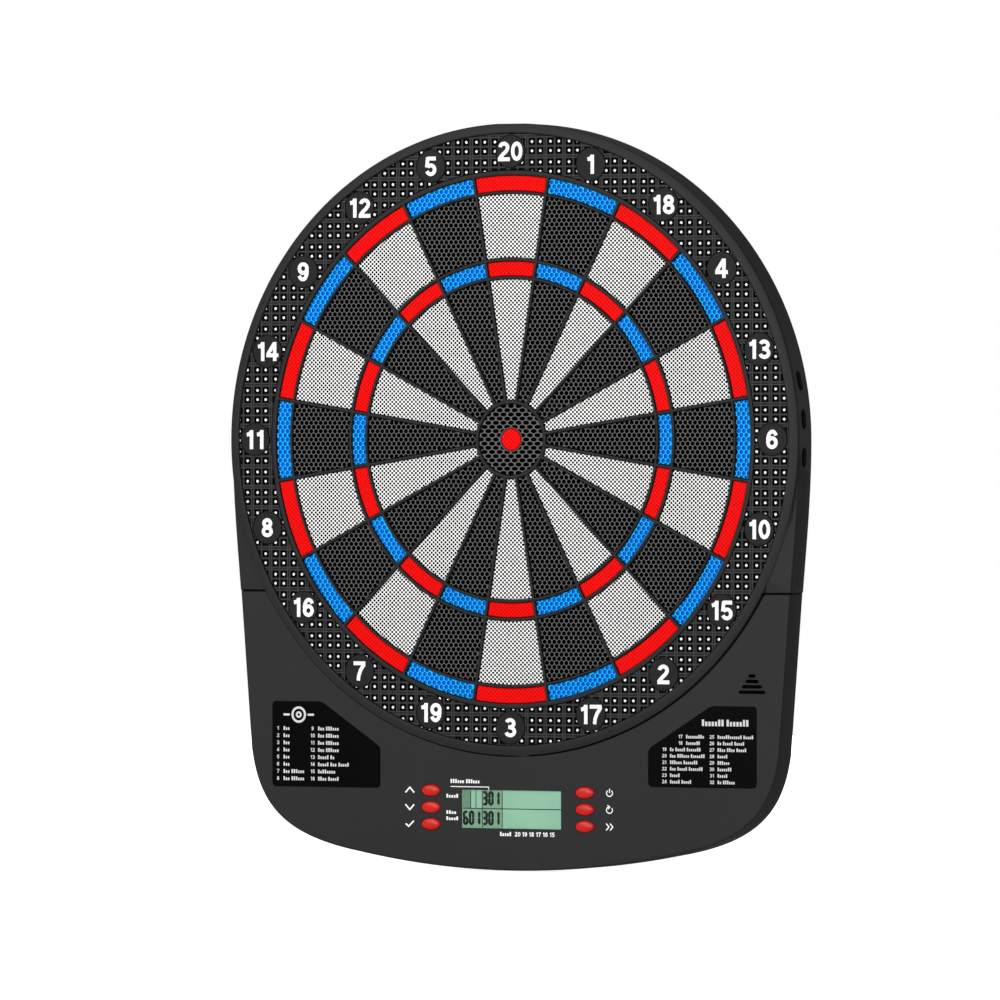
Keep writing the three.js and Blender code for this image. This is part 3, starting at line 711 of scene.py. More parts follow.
def catch_ring():
    plan = Plan()
    ring = plan.shape(circle(0, 0, CATCH_OUTER, 360), circle(0, 0, CATCH_INNER, 320))
    wall = plan.outline(circle(0, 0, CATCH_INNER + RING_WALL, 320))
    centres = [around(DISC_PLACE, i * SECTOR) for i in range(len(SCORES))]
    discs = {plan.outline(circle(x, z, DISC_RADIUS, 72)) for x, z in centres}
    grooves = {plan.outline(circle(x, z, DISC_RADIUS + GROOVE, 72)) for x, z in centres}
    for step in (0.15, 0.4):
        for x, z in centres:
            plan.outline(circle(x, z, DISC_RADIUS - step, 72))
    pits, pins, ribs = set(), set(), set()
    reach = CATCH_OUTER

    def places(axis):
        first = -math.ceil(reach / PIN_PITCH[axis]) - 1
        return [PIN_ORIGIN[axis] + PIN_PITCH[axis] * i for i in range(first, 1 - first)]

    for a in places(0):
        for b in places(1):
            for x in (a - PIN_ASIDE, a + PIN_ASIDE):
                for z in (b - PIN_ASIDE, b + PIN_ASIDE):
                    radius = math.hypot(x, z)
                    if CATCH_INNER - 3 < radius < CATCH_OUTER + 3:
                        square = rectangle(x - PIT_HALF, x + PIT_HALF, z - PIT_HALF, z + PIT_HALF)
                        pits.add(plan.outline(square))
                        pins.add(plan.outline(circle(x, z, PIN_RADIUS, 14)))
    for axis in (0, 1):
        half = PIN_PITCH[axis] / 2
        narrow = places(axis)
        wide = [p + half + side * RIDGE_ASIDE for p in narrow for side in (-1, 1)]
        for middle in sorted(narrow + wide):
            if abs(middle) < reach:
                low, high = middle - RIDGE_WIDTH / 2, middle + RIDGE_WIDTH / 2
                box = (low, high, -reach, reach) if axis == 0 else (-reach, reach, low, high)
                ribs.add(plan.outline(rectangle(*box)))

    def disc_front(x, z):
        away = min(math.hypot(x - a, z - b) for a, b in centres)
        return DISC_FRONT + fillet(max(0.0, DISC_RADIUS - away), 0.4)

    def zone(inside):
        if not in_band(inside, ring):
            return None
        back = CATCH_WALL_BACK if wall in inside else CATCH_BACK
        if inside & discs:
            return disc_front, back, 0
        if inside & grooves:
            return CATCH_FRONT + GROOVE_DEPTH, back, 0
        if inside & pins:
            return CATCH_FRONT - PIN_RISE, back, 2
        # The pits sink and take the near-black material: painted shade inside each pit.
        if inside & pits:
            return CATCH_FRONT + PIT_DEPTH, back, 1
        # The ribs rise a little and take the lighter grey: painted highlight along their tops.
        if inside & ribs:
            return CATCH_FRONT - RIDGE_RISE, back, 3
        return CATCH_FRONT, back, 0

    return relief(plan, zone)


piece("number_ring", catch_ring(), [RING, PIT_SHADOW, PIN, RIDGE_HIGHLIGHT], "casing", ["catch_ring"])


# Digits drawn with strokes, one unit high, their middle on x = 0 and their foot on z = 0

def bow(x, z, wide, high, start, end, steps=20):
    """Part of an oval between two angles in degrees."""
    line = [(x + wide * math.cos(math.radians(start + (end - start) * i / steps)),
             z + high * math.sin(math.radians(start + (end - start) * i / steps))) for i in range(steps + 1)]
    return (line[:-1], True) if end - start == 360 else (line, False)


def stroke(*line):
    return list(line), False


STROKE = 0.2
WIDEN = 1.15
DIGITS = {
    "0": [bow(0, 0.5, 0.2, 0.4, 0, 360, 28)],
    "1": [stroke((0.09, 0), (0.09, 1)), stroke((-0.15, 0.76), (-0.04, 0.78), (0.05, 0.86), (0.09, 0.95))],
    "2": [stroke(*bow(0, 0.7, 0.19, 0.2, 175, -25)[0],
                 (0.11, 0.5), (-0.05, 0.34), (-0.17, 0.2), (-0.2, 0.06)),
          stroke((-0.3, 0.085), (0.3, 0.085))],
    "3": [bow(-0.01, 0.72, 0.185, 0.18, 160, -85), bow(0, 0.3, 0.21, 0.2, 85, -165),
          stroke((-0.1, 0.525), (0.04, 0.525))],
    "4": [stroke((0.12, 0), (0.12, 1)), stroke((0.1, 0.93), (-0.235, 0.36)),
          stroke((-0.31, 0.3), (0.31, 0.3))],
    "5": [stroke((0.26, 0.91), (-0.17, 0.91)), stroke((-0.15, 0.97), (-0.195, 0.45)),
          bow(0, 0.325, 0.2, 0.23, 142, -160)],
    "6": [bow(0, 0.33, 0.195, 0.23, 0, 360, 24), bow(0.02, 0.48, 0.215, 0.42, 190, 32)],
    "7": [stroke((-0.3, 0.91), (0.3, 0.91)), stroke((0.24, 0.86), (0.06, 0.55), (-0.03, 0.28), (-0.06, 0))],
    "8": [bow(0, 0.725, 0.17, 0.175, 0, 360, 24), bow(0, 0.3, 0.2, 0.2, 0, 360, 24)],
}
DIGITS["9"] = [([(-x, 1 - z) for x, z in line], closed) for line, closed in DIGITS["6"]]


def write(plan, text, x, z, height, weight=STROKE):
    """The bands of a number whose middle is at a point."""
    widths = [0.61 if digit == "1" else 0.745 for digit in text]
    left = -sum(widths) / 2
    bands = []
    for digit, width in zip(text, widths):
        middle = x + (left + width / 2) * height
        for line, closed in DIGITS[digit]:
            moved = [(middle + a * WIDEN * height, z + (b - 0.5) * height) for a, b in line]
            bands.append(plan.band(moved, weight * height, closed))
        left += width
    return bands


def flat(plan, bands, front, back, material=0):
    return relief(plan, lambda inside: (front, back, material) if in_any(inside, bands) else None)


NUMERAL_HEIGHT = 12.4
numerals = Plan()
written = []
for turn, score in enumerate(SCORES):
    written += write(numerals, str(score), *around(DISC_PLACE, turn * SECTOR), NUMERAL_HEIGHT)
piece("ring_numbers", flat(numerals, written, DISC_FRONT - 0.08, DISC_FRONT + 0.1), [INK], "casing")


# The case

EDGE_STEPS = (0.15, 0.4, 0.75, 1.2)
EDGE_RADIUS = EDGE_STEPS[-1]
RIM_STEPS = (0.15, 0.4, 0.7, 1.0, 3.5, 5.9, 6.1, 6.3)
RIM_SLOPE = 0.24
SHOULDER_TOP = -14.0
SEAM_WALL, SEAM_GROOVE, SEAM_GROOVE_DEPTH = 1.6, 0.8, 1.4


def rim_front(radius):
    """The crest of the rim: rounded on the inside, then falling away evenly to a crisp outer edge."""
    across = radius - RIM_INNER
    fall = max(0.0, across - 1.0) * RIM_SLOPE
    return RIM_CREST + fillet(across, 1.0) + fall + fillet(CASE_RADIUS - radius, 0.5)


def upper_frame():
    right = bezier(SHOULDER, 24)
    seam = right[-1][1]
    turn = math.asin(seam / CASE_RADIUS)
    crown = CAD_BOX[1].z / MM
    top = [(x, min(z, crown)) for x, z in arc(0, 0, CASE_RADIUS, 0, math.pi, 240)[1:-1]]
    left = mirrored(right)[::-1]
    plan = Plan()
    foot = arc(0, 0, CASE_RADIUS, math.pi - turn, 2 * math.pi + turn, 120)
    whole = plan.outline(top + left + foot + right[::-1])
    hole = plan.outline(circle(0, 0, RIM_INNER, 360))
    disc = plan.outline(circle(0, 0, CASE_RADIUS - 0.01, 360))
    for step in RIM_STEPS:
        plan.outline(circle(0, 0, RIM_INNER + step, 360))
    wall = plan.outline(circle(0, 0, CASE_RADIUS - WALL, 360))
    low = plan.outline(rectangle(-CASE_RADIUS - 1, CASE_RADIUS + 1, seam - 1, SHOULDER_TOP))
    sides = (right[::-1], mirrored(right[::-1]))
    for step in EDGE_STEPS:
        for line in sides:
            plan.outline(line + offset(line, -step)[::-1])
    walls = {plan.outline(line + offset(line, -WALL)[::-1]) for line in sides}
    inner_x, outer_x = CASE_RADIUS * math.cos(turn), right[-1][0]

    def on_both_sides(near, far, bottom, top):
        """The numbers of two boxes, left and right, between two distances from the middle."""
        spans = [sorted((side * near, side * far)) for side in (-1, 1)]
        return {plan.outline(rectangle(*span, bottom, top)) for span in spans}

    seams = on_both_sides(inner_x + 2, outer_x - 0.5, seam, seam + SEAM_WALL)
    tongues = on_both_sides(inner_x - 4, outer_x - 0.2, seam - 0.35, seam + 1)
    groove = plan.outline(rectangle(-CASE_RADIUS, CASE_RADIUS, seam - 1, seam + SEAM_GROOVE))
    from_side = edge_distance(right + left[::-1], closed=False)

    def front(x, z):
        radius = math.hypot(x, z)
        if radius <= CASE_RADIUS - 0.005:
            return rim_front(radius)
        fall = fillet(from_side(x, z), EDGE_RADIUS) if z < 0 else 0.9
        return FACE_FRONT + fall

    def zone(inside):
        # The tongues fill the gap below the seam in the near-black material: painted shade in the gap between
        # the upper case and the console.
        if whole not in inside and inside & tongues and disc not in inside:
            return FACE_FRONT + SEAM_GROOVE_DEPTH, CASE_BACK - 1.0, 1
        if whole not in inside or hole in inside:
            return None
        round_wall = disc in inside and wall not in inside
        # The seam groove's recessed floor and walls take the near-black material: painted shade along the
        # seam.
        if groove in inside and disc not in inside:
            back = CASE_BACK - 1.0 if inside & (seams | walls) else FACE_BACK
            return FACE_FRONT + SEAM_GROOVE_DEPTH, back, 1
        if inside & walls or (round_wall and low not in inside):
            return front, CASE_BACK, 0
        if inside & seams and disc not in inside:
            return front, CASE_BACK - 1.0, 0
        if round_wall:
            return front, CABLE_WAY, 0
        return front, FACE_BACK, 0

    return relief(plan, zone)


def without(obj, cutters):
    """The object with other solids cut away from it."""
    for cutter in cutters:
        cut = obj.modifiers.new("cut", "BOOLEAN")
        cut.operation, cut.solver, cut.object = "DIFFERENCE", "EXACT", cutter
    view = bpy.context.evaluated_depsgraph_get()
    mesh = bpy.data.meshes.new_from_object(obj.evaluated_get(view))
    obj.modifiers.clear()
    obj.data = mesh
    for cutter in cutters:
        bpy.data.objects.remove(cutter)
    return obj


SLOT_LENGTH, SLOT_WIDTH, SLOT_DEPTH = 13.0, 7.0, -14.8
SLOT_PLACES = (37.5, 12.9, -11.7)


def slot_cutter(side, z):
    """What cuts a slot with round ends through a side wall, its middle at a height z."""
    half_width, half_length = SLOT_WIDTH / 2, SLOT_LENGTH / 2
    outline = rounded(SLOT_DEPTH - half_width, SLOT_DEPTH + half_width, z - half_length, z + half_length,
                      half_width - 0.01, 10)
    near, far = side * 195.0, side * 212.0
    count = len(outline)
    verts = [(near, y, h) for y, h in outline] + [(far, y, h) for y, h in outline]
    sides = [[i, (i + 1) % count, count + (i + 1) % count, count + i] for i in range(count)]
    faces = [list(range(count))[::-1], list(range(count, 2 * count)), *sides]
    if side < 0:
        faces = [face[::-1] for face in faces]
    mesh = bpy.data.meshes.new("slot")
    mesh.from_pydata([(x * MM, y * MM, h * MM) for x, y, h in verts], [], faces)
    cutter = bpy.data.objects.new("slot", mesh)
    scene.collection.objects.link(cutter)
    return cutter


upper = piece("upper_case", upper_frame(), [CASE, PIT_SHADOW], "casing", ["upper_frame"], smooth=35)
without(upper, [slot_cutter(side, z) for side in (-1, 1) for z in SLOT_PLACES])


# The console

BUTTONS = ["button_up", "button_down", "button_enter", "button_power", "button_reset", "button_next"]
BUTTON_HALVES = (6.75, 3.85)
WINDOW = cad_box("lcd_lens")


def middle_of(node):
    left, right, _, _, bottom, top = cad_box(node)
    return (left + right) / 2, (bottom + top) / 2


def console_outline():
    right = bezier(CORNER, 28)[::-1]
    half = math.asin(right[0][0] / BOTTOM_RADIUS)
    right.append((CONSOLE_X, SEAM - SEAM_GAP))
    middle = BOTTOM + BOTTOM_RADIUS
    bottom = arc(0, middle, BOTTOM_RADIUS, -math.pi / 2 - half, -math.pi / 2 + half, 40)
    turn = math.asin((SEAM - SEAM_GAP) / CUTOUT)
    cutout = arc(0, 0, CUTOUT, turn, -math.pi - turn, 140)
    return mirrored(right) + bottom[1:-1] + right + cutout


def label_outline(side, grow, steps=6):
    left, right, _, _, bottom, top = cad_box(f"label_plate_{side}")
    slant_top, slant_bottom = {"left": (-138.5, -200.0), "right": (142.5, -199.0)}[side]
    if side == "right":
        corners = [(left, bottom), (right, bottom), (right, top), (slant_top, top), (left, slant_bottom)]
    else:
        corners = [(left, bottom), (right, bottom), (right, slant_bottom), (slant_top, top), (left, top)]
    outline = []
    for i, (x, z) in enumerate(corners):
        ends = []
        for other in (corners[i - 1], corners[(i + 1) % 5]):
            away = math.hypot(other[0] - x, other[1] - z)
            ends.append((x + (other[0] - x) * 3 / away, z + (other[1] - z) * 3 / away))
        for k in range(steps + 1):
            t = k / steps
            a, b, c = (1 - t) ** 2, 2 * t * (1 - t), t * t
            outline.append((a * ends[0][0] + b * x + c * ends[1][0], a * ends[0][1] + b * z + c * ends[1][1]))
    return offset(outline, grow, closed=True)


GRILLE_LENGTHS, GRILLE_TOP, GRILLE_PITCH = (5.2, 9.2, 14.0, 18.8), -151.3, 3.47
GRILLE_HEIGHT, GRILLE_CORNER = 2.3, 1.0
WINDOW_GAP, BUTTON_GAP = 0.3, 0.35
LABEL_BED = -21.9


def console():
    plan = Plan()
    outline = console_outline()
    whole = plan.outline(outline)
    for step in EDGE_STEPS:
        plan.outline(offset(outline, -step, closed=True))
    wall = plan.outline(offset(outline, -WALL, closed=True))
    way = plan.outline(circle(0, 0, CUTOUT + WALL + 1.2, 300))
    lip_way = plan.outline(rectangle(WALL - CONSOLE_X, CONSOLE_X - WALL, SEAM - 3.6, SEAM + 1))
    left, right, _, _, bottom, top = WINDOW
    gap = WINDOW_GAP
    openings = {plan.outline(rounded(left - gap, right + gap, bottom - gap, top + gap, 0.8))}
    wide, high = (half + BUTTON_GAP for half in BUTTON_HALVES)
    for name in BUTTONS:
        openings.add(plan.outline(circle(*middle_of(name), wide, 48, high / wide)))
    speaker_x = middle_of("speaker")[0]
    for i, length in enumerate(GRILLE_LENGTHS):
        z = GRILLE_TOP - GRILLE_PITCH * i
        slot = rounded(speaker_x - length / 2, speaker_x + length / 2,
                       z - GRILLE_HEIGHT / 2, z + GRILLE_HEIGHT / 2, GRILLE_CORNER)
        openings.add(plan.outline(slot))
    recesses = {plan.outline(label_outline(side, 0.3)) for side in ("left", "right")}
    from_edge = edge_distance(outline)

    def front(x, z):
        room = math.hypot(x, z) - CUTOUT
        if room < EDGE_RADIUS and z < SEAM - 1:
            return FACE_FRONT + fillet(max(0.0, room), 0.5)
        return FACE_FRONT + fillet(from_edge(x, z), EDGE_RADIUS)

    def zone(inside):
        if whole not in inside or inside & openings:
            return None
        back = FACE_BACK
        if wall not in inside:
            back = CASE_BACK
            if way in inside:
                back = CABLE_WAY
            elif lip_way in inside:
                back = CASE_BACK - 1.0
        if inside & recesses:
            return LABEL_BED, back, 0
        return front, back, 0

    return relief(plan, zone)


piece("console_case", console(), [CASE], "casing", ["console_fascia"], smooth=35)

BUTTON_PROFILE = [(0, 0), (0.2, 0.03), (0.4, 0.12), (0.58, 0.28), (0.72, 0.48), (0.83, 0.72), (0.91, 1.0),
                  (0.965, 1.35), (1.0, 1.8)]
for name in BUTTONS:
    x, z = middle_of(name)
    _, _, front, back, _, _ = cad_box(name)
    profile = [(r, front + fall) for r, fall in BUTTON_PROFILE]
    profile += [(1.0, back - 0.8), (1.18, back - 0.8), (1.18, back), (0, back)]
    cap = turned(profile, 64, x, z, *BUTTON_HALVES)
    piece(f"{name}_cap", cap, [BUTTON], name, [name], smooth=40)

for side in ("left", "right"):
    _, _, front, back, _, _ = cad_box(f"label_plate_{side}")
    plan = Plan()
    plan.outline(label_outline(side, 0))
    plan.outline(label_outline(side, -0.25))
    near = edge_distance(label_outline(side, 0))

    def eased(x, z, front=front, near=near):
        return front + 0.15 * (1 - min(1.0, near(x, z) / 0.25))

    plate = relief(plan, lambda inside: (eased, back, 0) if 0 in inside else None)
    piece(f"label_{side}", plate, [LABEL], "casing", [f"label_plate_{side}"])


# The display

BARS = {"a": ((0, 1), (1, 1)), "b": ((1, 1), (1, 0.5)), "c": ((1, 0.5), (1, 0)), "d": ((0, 0), (1, 0)),
        "e": ((0, 0), (0, 0.5)), "f": ((0, 0.5), (0, 1)), "g": ((0, 0.5), (1, 0.5))}
LIT = {"0": "abcdef", "1": "bc", "3": "abgcd", "6": "afgedc"}
FIGURES = [("301", -21.2, -236.2), ("601", -35.2, -249.0), ("301", -21.2, -249.0)]
FIGURE_WIDTH, FIGURE_HEIGHT, FIGURE_PITCH, FIGURE_WEIGHT = 2.3, 7.7, 4.3, 1.85
DISPLAY_ROW, DISPLAY_LINE, DISPLAY_MARGIN = -239.0, 0.6, 0.4
SCORE_COLUMN, STRIP_COLUMN = (-22.0, -7.6), (-30.4, -26.6)


def seven_segment(plan, text, x, z, width, height, pitch, weight):
    """The numbers of the bars of some digits. The first digit starts at x, and z is their foot."""
    made = []
    for i, digit in enumerate(text):
        left = x + i * pitch
        for bar in LIT[digit]:
            ends = [(left + a * width, z + b * height) for a, b in BARS[bar]]
            (ax, az), (bx, bz) = ends
            length = math.hypot(bx - ax, bz - az)
            ux, uz = (bx - ax) / length, (bz - az) / length
            trim, half = weight * 0.25, weight / 2
            middle = [(ax + ux * trim, az + uz * trim), (bx - ux * trim, bz - uz * trim)]
            (cx, cz), (dx, dz) = middle
            loop = [(cx - ux * half, cz - uz * half), (cx + uz * half, cz - ux * half),
                    (dx + uz * half, dz - ux * half), (dx + ux * half, dz + uz * half),
                    (dx - uz * half, dz + ux * half), (cx - uz * half, cz + ux * half)]
            made.append(plan.outline(loop))
    return set(made)


def display():
    left, right, front, back, bottom, top = cad_box("lcd_panel")
    plan = Plan()
    pane = plan.outline(rectangle(left, right, bottom, top))
    margin, half = DISPLAY_MARGIN, DISPLAY_LINE / 2
    shade = plan.outline(rectangle(left + margin, left + 6.0, DISPLAY_ROW + 0.1, top - 0.5))
    scores = plan.outline(rectangle(left, SCORE_COLUMN[1], bottom, top))
    strips = plan.outline(rectangle(STRIP_COLUMN[0], SCORE_COLUMN[0], DISPLAY_ROW, top))
    ink = set()
    for x in SCORE_COLUMN:
        ink.add(plan.outline(rectangle(x - half, x + half, bottom + margin, top - margin)))
    for x in STRIP_COLUMN:
        ink.add(plan.outline(rectangle(x - half, x + half, DISPLAY_ROW, top - margin)))
    ink.add(plan.outline(rectangle(left + margin, right - margin, DISPLAY_ROW - half, DISPLAY_ROW + half)))
    for text, x, z in FIGURES:
        ink |= seven_segment(plan, text, x, z, FIGURE_WIDTH, FIGURE_HEIGHT, FIGURE_PITCH, FIGURE_WEIGHT)

    def zone(inside):
        if pane not in inside:
            return None
        if inside & ink:
            return front, back, 2
        if shade in inside:
            return front, back, 1
        return front, back, 3 if scores in inside and strips not in inside else 0

    return relief(plan, zone)


GREENS = [DISPLAY, DISPLAY_SHADE, DISPLAY_INK, DISPLAY_LEFT]
piece("display_panel", display(), GREENS, "casing", ["lcd_panel"])

plan = Plan()
plan.outline(rounded(WINDOW[0], WINDOW[1], WINDOW[4], WINDOW[5], 0.6))
lens = relief(plan, lambda inside: (WINDOW[2], WINDOW[3], 0) if 0 in inside else None)
piece("display_window", lens, [CLEAR], "casing", ["lcd_lens"])


# Printed marks

def words(plan, lengths, left, z, height, pitch):
    """Small blocks in place of a line of print: words of the given lengths, some blocks taller."""
    bands = []
    x = left
    for length in lengths:
        for place in range(length):
            tall = place == 0 or (3 * place + 2 * length) % 7 in (1, 4)
            top = z + (0.5 if tall else 0.18) * height
            bands.append((plan.outline(rectangle(x, x + 0.68 * pitch, z - 0.5 * height, top)), None))
            x += pitch
        x += 0.6 * pitch
    return bands


LABEL_LINES = {
    "left": [(-173.0, -188.5, 4.68, [(3,), (3,), (3,), (3,), (3,), (3,), (3, 6), (3, 6)]),
             (-147.6, -188.5, 4.68, [(3, 6), (3, 6), (3, 6), (3, 6), (5, 2), (5, 3, 5), (8,), (4, 5)])],
    "right": [(118.0, -190.6, 4.15, [(9,), (7,)]),
              (106.6, -198.9, 4.15, [(2, 5, 7), (3, 6, 7), (6, 7), (3, 5, 7), (5,), (5, 5)]),
              (140.3, -190.6, 4.15, [(12, 5), (2, 5, 5), (4, 4, 5), (5,), (6,), (7,), (5,), (2, 6)])],
}


def label_print(side):
    plan = Plan()
    front = cad_box(f"label_plate_{side}")[2]
    bands = []
    number = 1 if side == "left" else 17
    height, pitch = (2.5, 1.62) if side == "left" else (2.3, 1.45)
    for left, top, fall, lines in LABEL_LINES[side]:
        for i, lengths in enumerate(lines):
            z = top - fall * i
            bands += write(plan, str(number), left + 2.6, z, height, 0.19)
            bands += words(plan, lengths, left + 6.6, z, height, pitch)
            number += 1
    if side == "right":
        bands += words(plan, (7, 7), 135.8, -181.6, 4.2, 2.3)
    else:
        x, z = -155.2, -179.6
        bands.append(plan.band(circle(x, z, 4.6, 48), 1.5, True))
        bands.append(plan.band(circle(x, z, 1.5, 32), 1.3, True))
        for sign in (-1, 1):
            bands.append(plan.band([(x + sign * 6.6, z), (x + sign * 11.2, z)], 1.4))
    return flat(plan, bands, front - 0.03, front + 0.05)


for side in ("left", "right"):
    piece(f"label_{side}_print", label_print(side), [PRINT], "casing")


def open_ring(start, end):
    """The line of a small ring with a gap, its angles measured clockwise from the top."""
    return [around(2.1, t) for t in np.linspace(start, end, 24)]


# Each sign beside a button: where it stands, its weight, and its lines about its own middle
SIGNS = {
    "button_up": (-74.0, 1.0, [[(-3.2, -1.6), (0, 1.8), (3.2, -1.6)]]),
    "button_down": (-74.0, 1.0, [[(-3.2, 1.6), (0, -1.8), (3.2, 1.6)]]),
    "button_enter": (-74.0, 1.0, [[(-3.0, 0.0), (-0.8, -1.8), (3.0, 1.9)]]),
    "button_power": (70.0, 0.7, [open_ring(0.7, 2 * math.pi - 0.7), [(0, 0.2), (0, 2.8)]]),
    "button_reset": (70.0, 0.7, [open_ring(0.9, 6.0), [(-1.6, 3.1), (0.2, 2.0), (-0.9, 0.5)]]),
    "button_next": (70.0, 0.8, [[(-2.4, 2.2), (-0.4, 0), (-2.4, -2.2)], [(0.4, 2.2), (2.4, 0), (0.4, -2.2)]]),
}
# The blocks round the display: the words' lengths, left end, middle height, height and pitch
CONSOLE_WORDS = [((6, 6), -44.4, -221.4, 2.6, 1.7), ((5,), -47.4, -231.0, 2.5, 1.8),
                 ((4,), -47.4, -241.6, 2.3, 1.9), ((5,), -47.4, -245.6, 2.3, 1.8),
                 ((5,), -8.6, -255.2, 2.7, 1.7)]
SCALE_NUMBERS, SCALE_LEFT, SCALE_PITCH, SCALE_PLACE = (20, 19, 18, 17, 16, 15), 4.1, 4.95, -255.2


def console_print():
    plan = Plan()
    bands = []
    for name, (x, weight, lines) in SIGNS.items():
        z = middle_of(name)[1]
        for line in lines:
            bands.append(plan.band([(x + a, z + b) for a, b in line], weight))
    bands.append(plan.band([(-44.4, -225.0), (-16.8, -225.0), (-16.8, -226.8)], 0.55))
    for line in CONSOLE_WORDS:
        bands += words(plan, *line)
    for i, score in enumerate(SCALE_NUMBERS):
        bands += write(plan, str(score), SCALE_LEFT + SCALE_PITCH * i, SCALE_PLACE, 2.9)
    return flat(plan, bands, FACE_FRONT - 0.03, FACE_FRONT + 0.05)


piece("console_marks", console_print(), [INK], "casing")


# The back

COVER_INSET, COVER_INSIDE, LIP_FRONT, LIP_WALL = 3.4, -2.0, -4.6, 1.8
DOOR = cad_box("battery_door")
TUB_MIDDLE = ((DOOR[0] + DOOR[1]) / 2, (DOOR[4] + DOOR[5]) / 2)
TUB_HALVES, LEDGE, TUB_FLOOR = (28.0, 22.5), 1.2, -17.4
SCREWS = [middle_of(f"case_screw_{i}") for i in range(1, 9)]
KEYHOLES = [(-90.0, 130.0), (90.0, 130.0)]
BORDER_GROOVE = (12.0, 13.4)
ROUND_GROOVES, ROUND_GROOVE_WIDTH = (60.0, 120.0), 1.3
GROOVE_FLOOR, BED_FLOOR, HEAD_FLOOR = -0.5, -0.7, -2.4


def around_tub(grow):
    (x, z), (wide, high) = TUB_MIDDLE, TUB_HALVES
    return rectangle(x - wide - grow, x + wide + grow, z - high - grow, z + high + grow)


def cover_outline():
    side = bezier(SHOULDER, 24)[1:-1][::-1]
    crown = arc(0, 0, CASE_RADIUS, 0, math.pi, 200)
    lower = console_outline()
    start, end = (lower.index((x, SEAM - SEAM_GAP)) for x in (-CONSOLE_X, CONSOLE_X))
    return offset(lower[start + 1:end] + side + crown + mirrored(side), -COVER_INSET, closed=True)


def rear_cover():
    plan = Plan()
    outline = cover_outline()
    whole = plan.outline(outline)
    for step in (0.15, 0.4, 0.8):
        plan.outline(offset(outline, -step, closed=True))
    inner = plan.outline(offset(outline, -LIP_WALL, closed=True))
    pads = {plan.outline(circle(x, z, 4.5, 40)) for x, z in SCREWS}
    heads = {plan.outline(circle(x, z, 3.6, 40)) for x, z in SCREWS}
    shanks = {plan.outline(circle(x, z, 1.9, 24)) for x, z in SCREWS}
    ribs = {plan.outline(rectangle(-150, 150, z - 1, z + 1)) for z in (-50, 50)}
    border = plan.shape(*(offset(outline, -inset, closed=True) for inset in BORDER_GROOVE))
    rings = [plan.shape(circle(0, 0, radius + ROUND_GROOVE_WIDTH, 200), circle(0, 0, radius, 200))
             for radius in ROUND_GROOVES]
    beds = {plan.outline(rounded(x - 12, x + 12, z - 11, z + 19, 4, 6)) for x, z in KEYHOLES}
    keyholes = set()
    for x, z in KEYHOLES:
        keyholes.add(plan.outline(circle(x, z, 5.2, 48)))
        keyholes.add(plan.outline(rectangle(x - 2.6, x + 2.6, z, z + 10)))
        keyholes.add(plan.outline(circle(x, z + 10, 2.6, 32)))
    tub_out, tub_in, doorway = (plan.outline(around_tub(grow)) for grow in (2.4, 0, LEDGE))
    from_edge = edge_distance(outline)

    def back(x, z):
        return -fillet(from_edge(x, z), 0.8)

    def zone(inside):
        if whole not in inside or inside & keyholes or inside & shanks:
            return None
        if tub_out in inside:
            behind = TUB_FLOOR if tub_in in inside else (COVER_INSIDE if doorway in inside else back)
            return TUB_FLOOR - LEDGE, behind, 0
        behind = back
        if inside & heads:
            behind = HEAD_FLOOR
        elif inside & beds:
            behind = BED_FLOOR
        elif in_band(inside, border) or in_any(inside, rings):
            behind = GROOVE_FLOOR
        front = COVER_INSIDE
        if inside & ribs:
            front = -5.6
        elif inner not in inside or inside & pads:
            front = LIP_FRONT
        return front, behind, 0

    return relief(plan, zone)


piece("rear_shell", rear_cover(), [COVER], "casing", ["rear_cover"], smooth=35)


def battery_door():
    left, right, front, back, bottom, top = DOOR
    plan = Plan()
    outline = rounded(left, right, bottom, top, 0.8, 4)
    door = plan.outline(outline)
    plan.outline(offset(outline, -0.3, closed=True))
    x = TUB_MIDDLE[0]
    thumb = plan.outline(rounded(x - 7, x + 7, top - 6, top - 2, 1.2, 4))
    grips = {plan.outline(rounded(x - 9, x + 9, z - 0.5, z + 0.5, 0.45, 3)) for z in
             (top - 9 - 2.2 * i for i in range(4))}
    from_edge = edge_distance(outline)

    def flat_back(x, z):
        return back - 0.3 * (1 - min(1.0, from_edge(x, z) / 0.3))

    def zone(inside):
        if door not in inside:
            return None
        if thumb in inside:
            return front, -1.0, 0
        return front, -0.02 if inside & grips else flat_back, 0

    return relief(plan, zone)


piece("battery_hatch", battery_door(), [COVER], "battery_door", ["battery_door"])


def screw(x, z, turn):
    plan = Plan()
    head = plan.outline(circle(x, z, 3.2, 36))
    plan.outline(circle(x, z, 2.7, 36))
    shank = plan.outline(circle(x, z, 1.5, 20))
    cross = set()
    for quarter in (0, math.pi / 2):
        a = turn + quarter
        dx, dz = 1.7 * math.cos(a), 1.7 * math.sin(a)
        cross.add(plan.band([(x - dx, z - dz), (x + dx, z + dz)], 0.75)[0])

    def back(px, pz):
        return -0.2 - 0.35 * max(0.0, (math.hypot(px - x, pz - z) - 2.7) / 0.5)

    def zone(inside):
        if head not in inside:
            return None
        return -11.5 if shank in inside else -1.1, -1.0 if inside & cross else back, 0

    return relief(plan, zone)


for i, (x, z) in enumerate(SCREWS, 1):
    solid = screw(x, z, 0.7 * i)
    piece(f"screw_{i}", solid, [SCREW], "casing", [f"case_screw_{i}"], smooth=35)


# What the case holds inside keeps its CAD shape, with softened edges

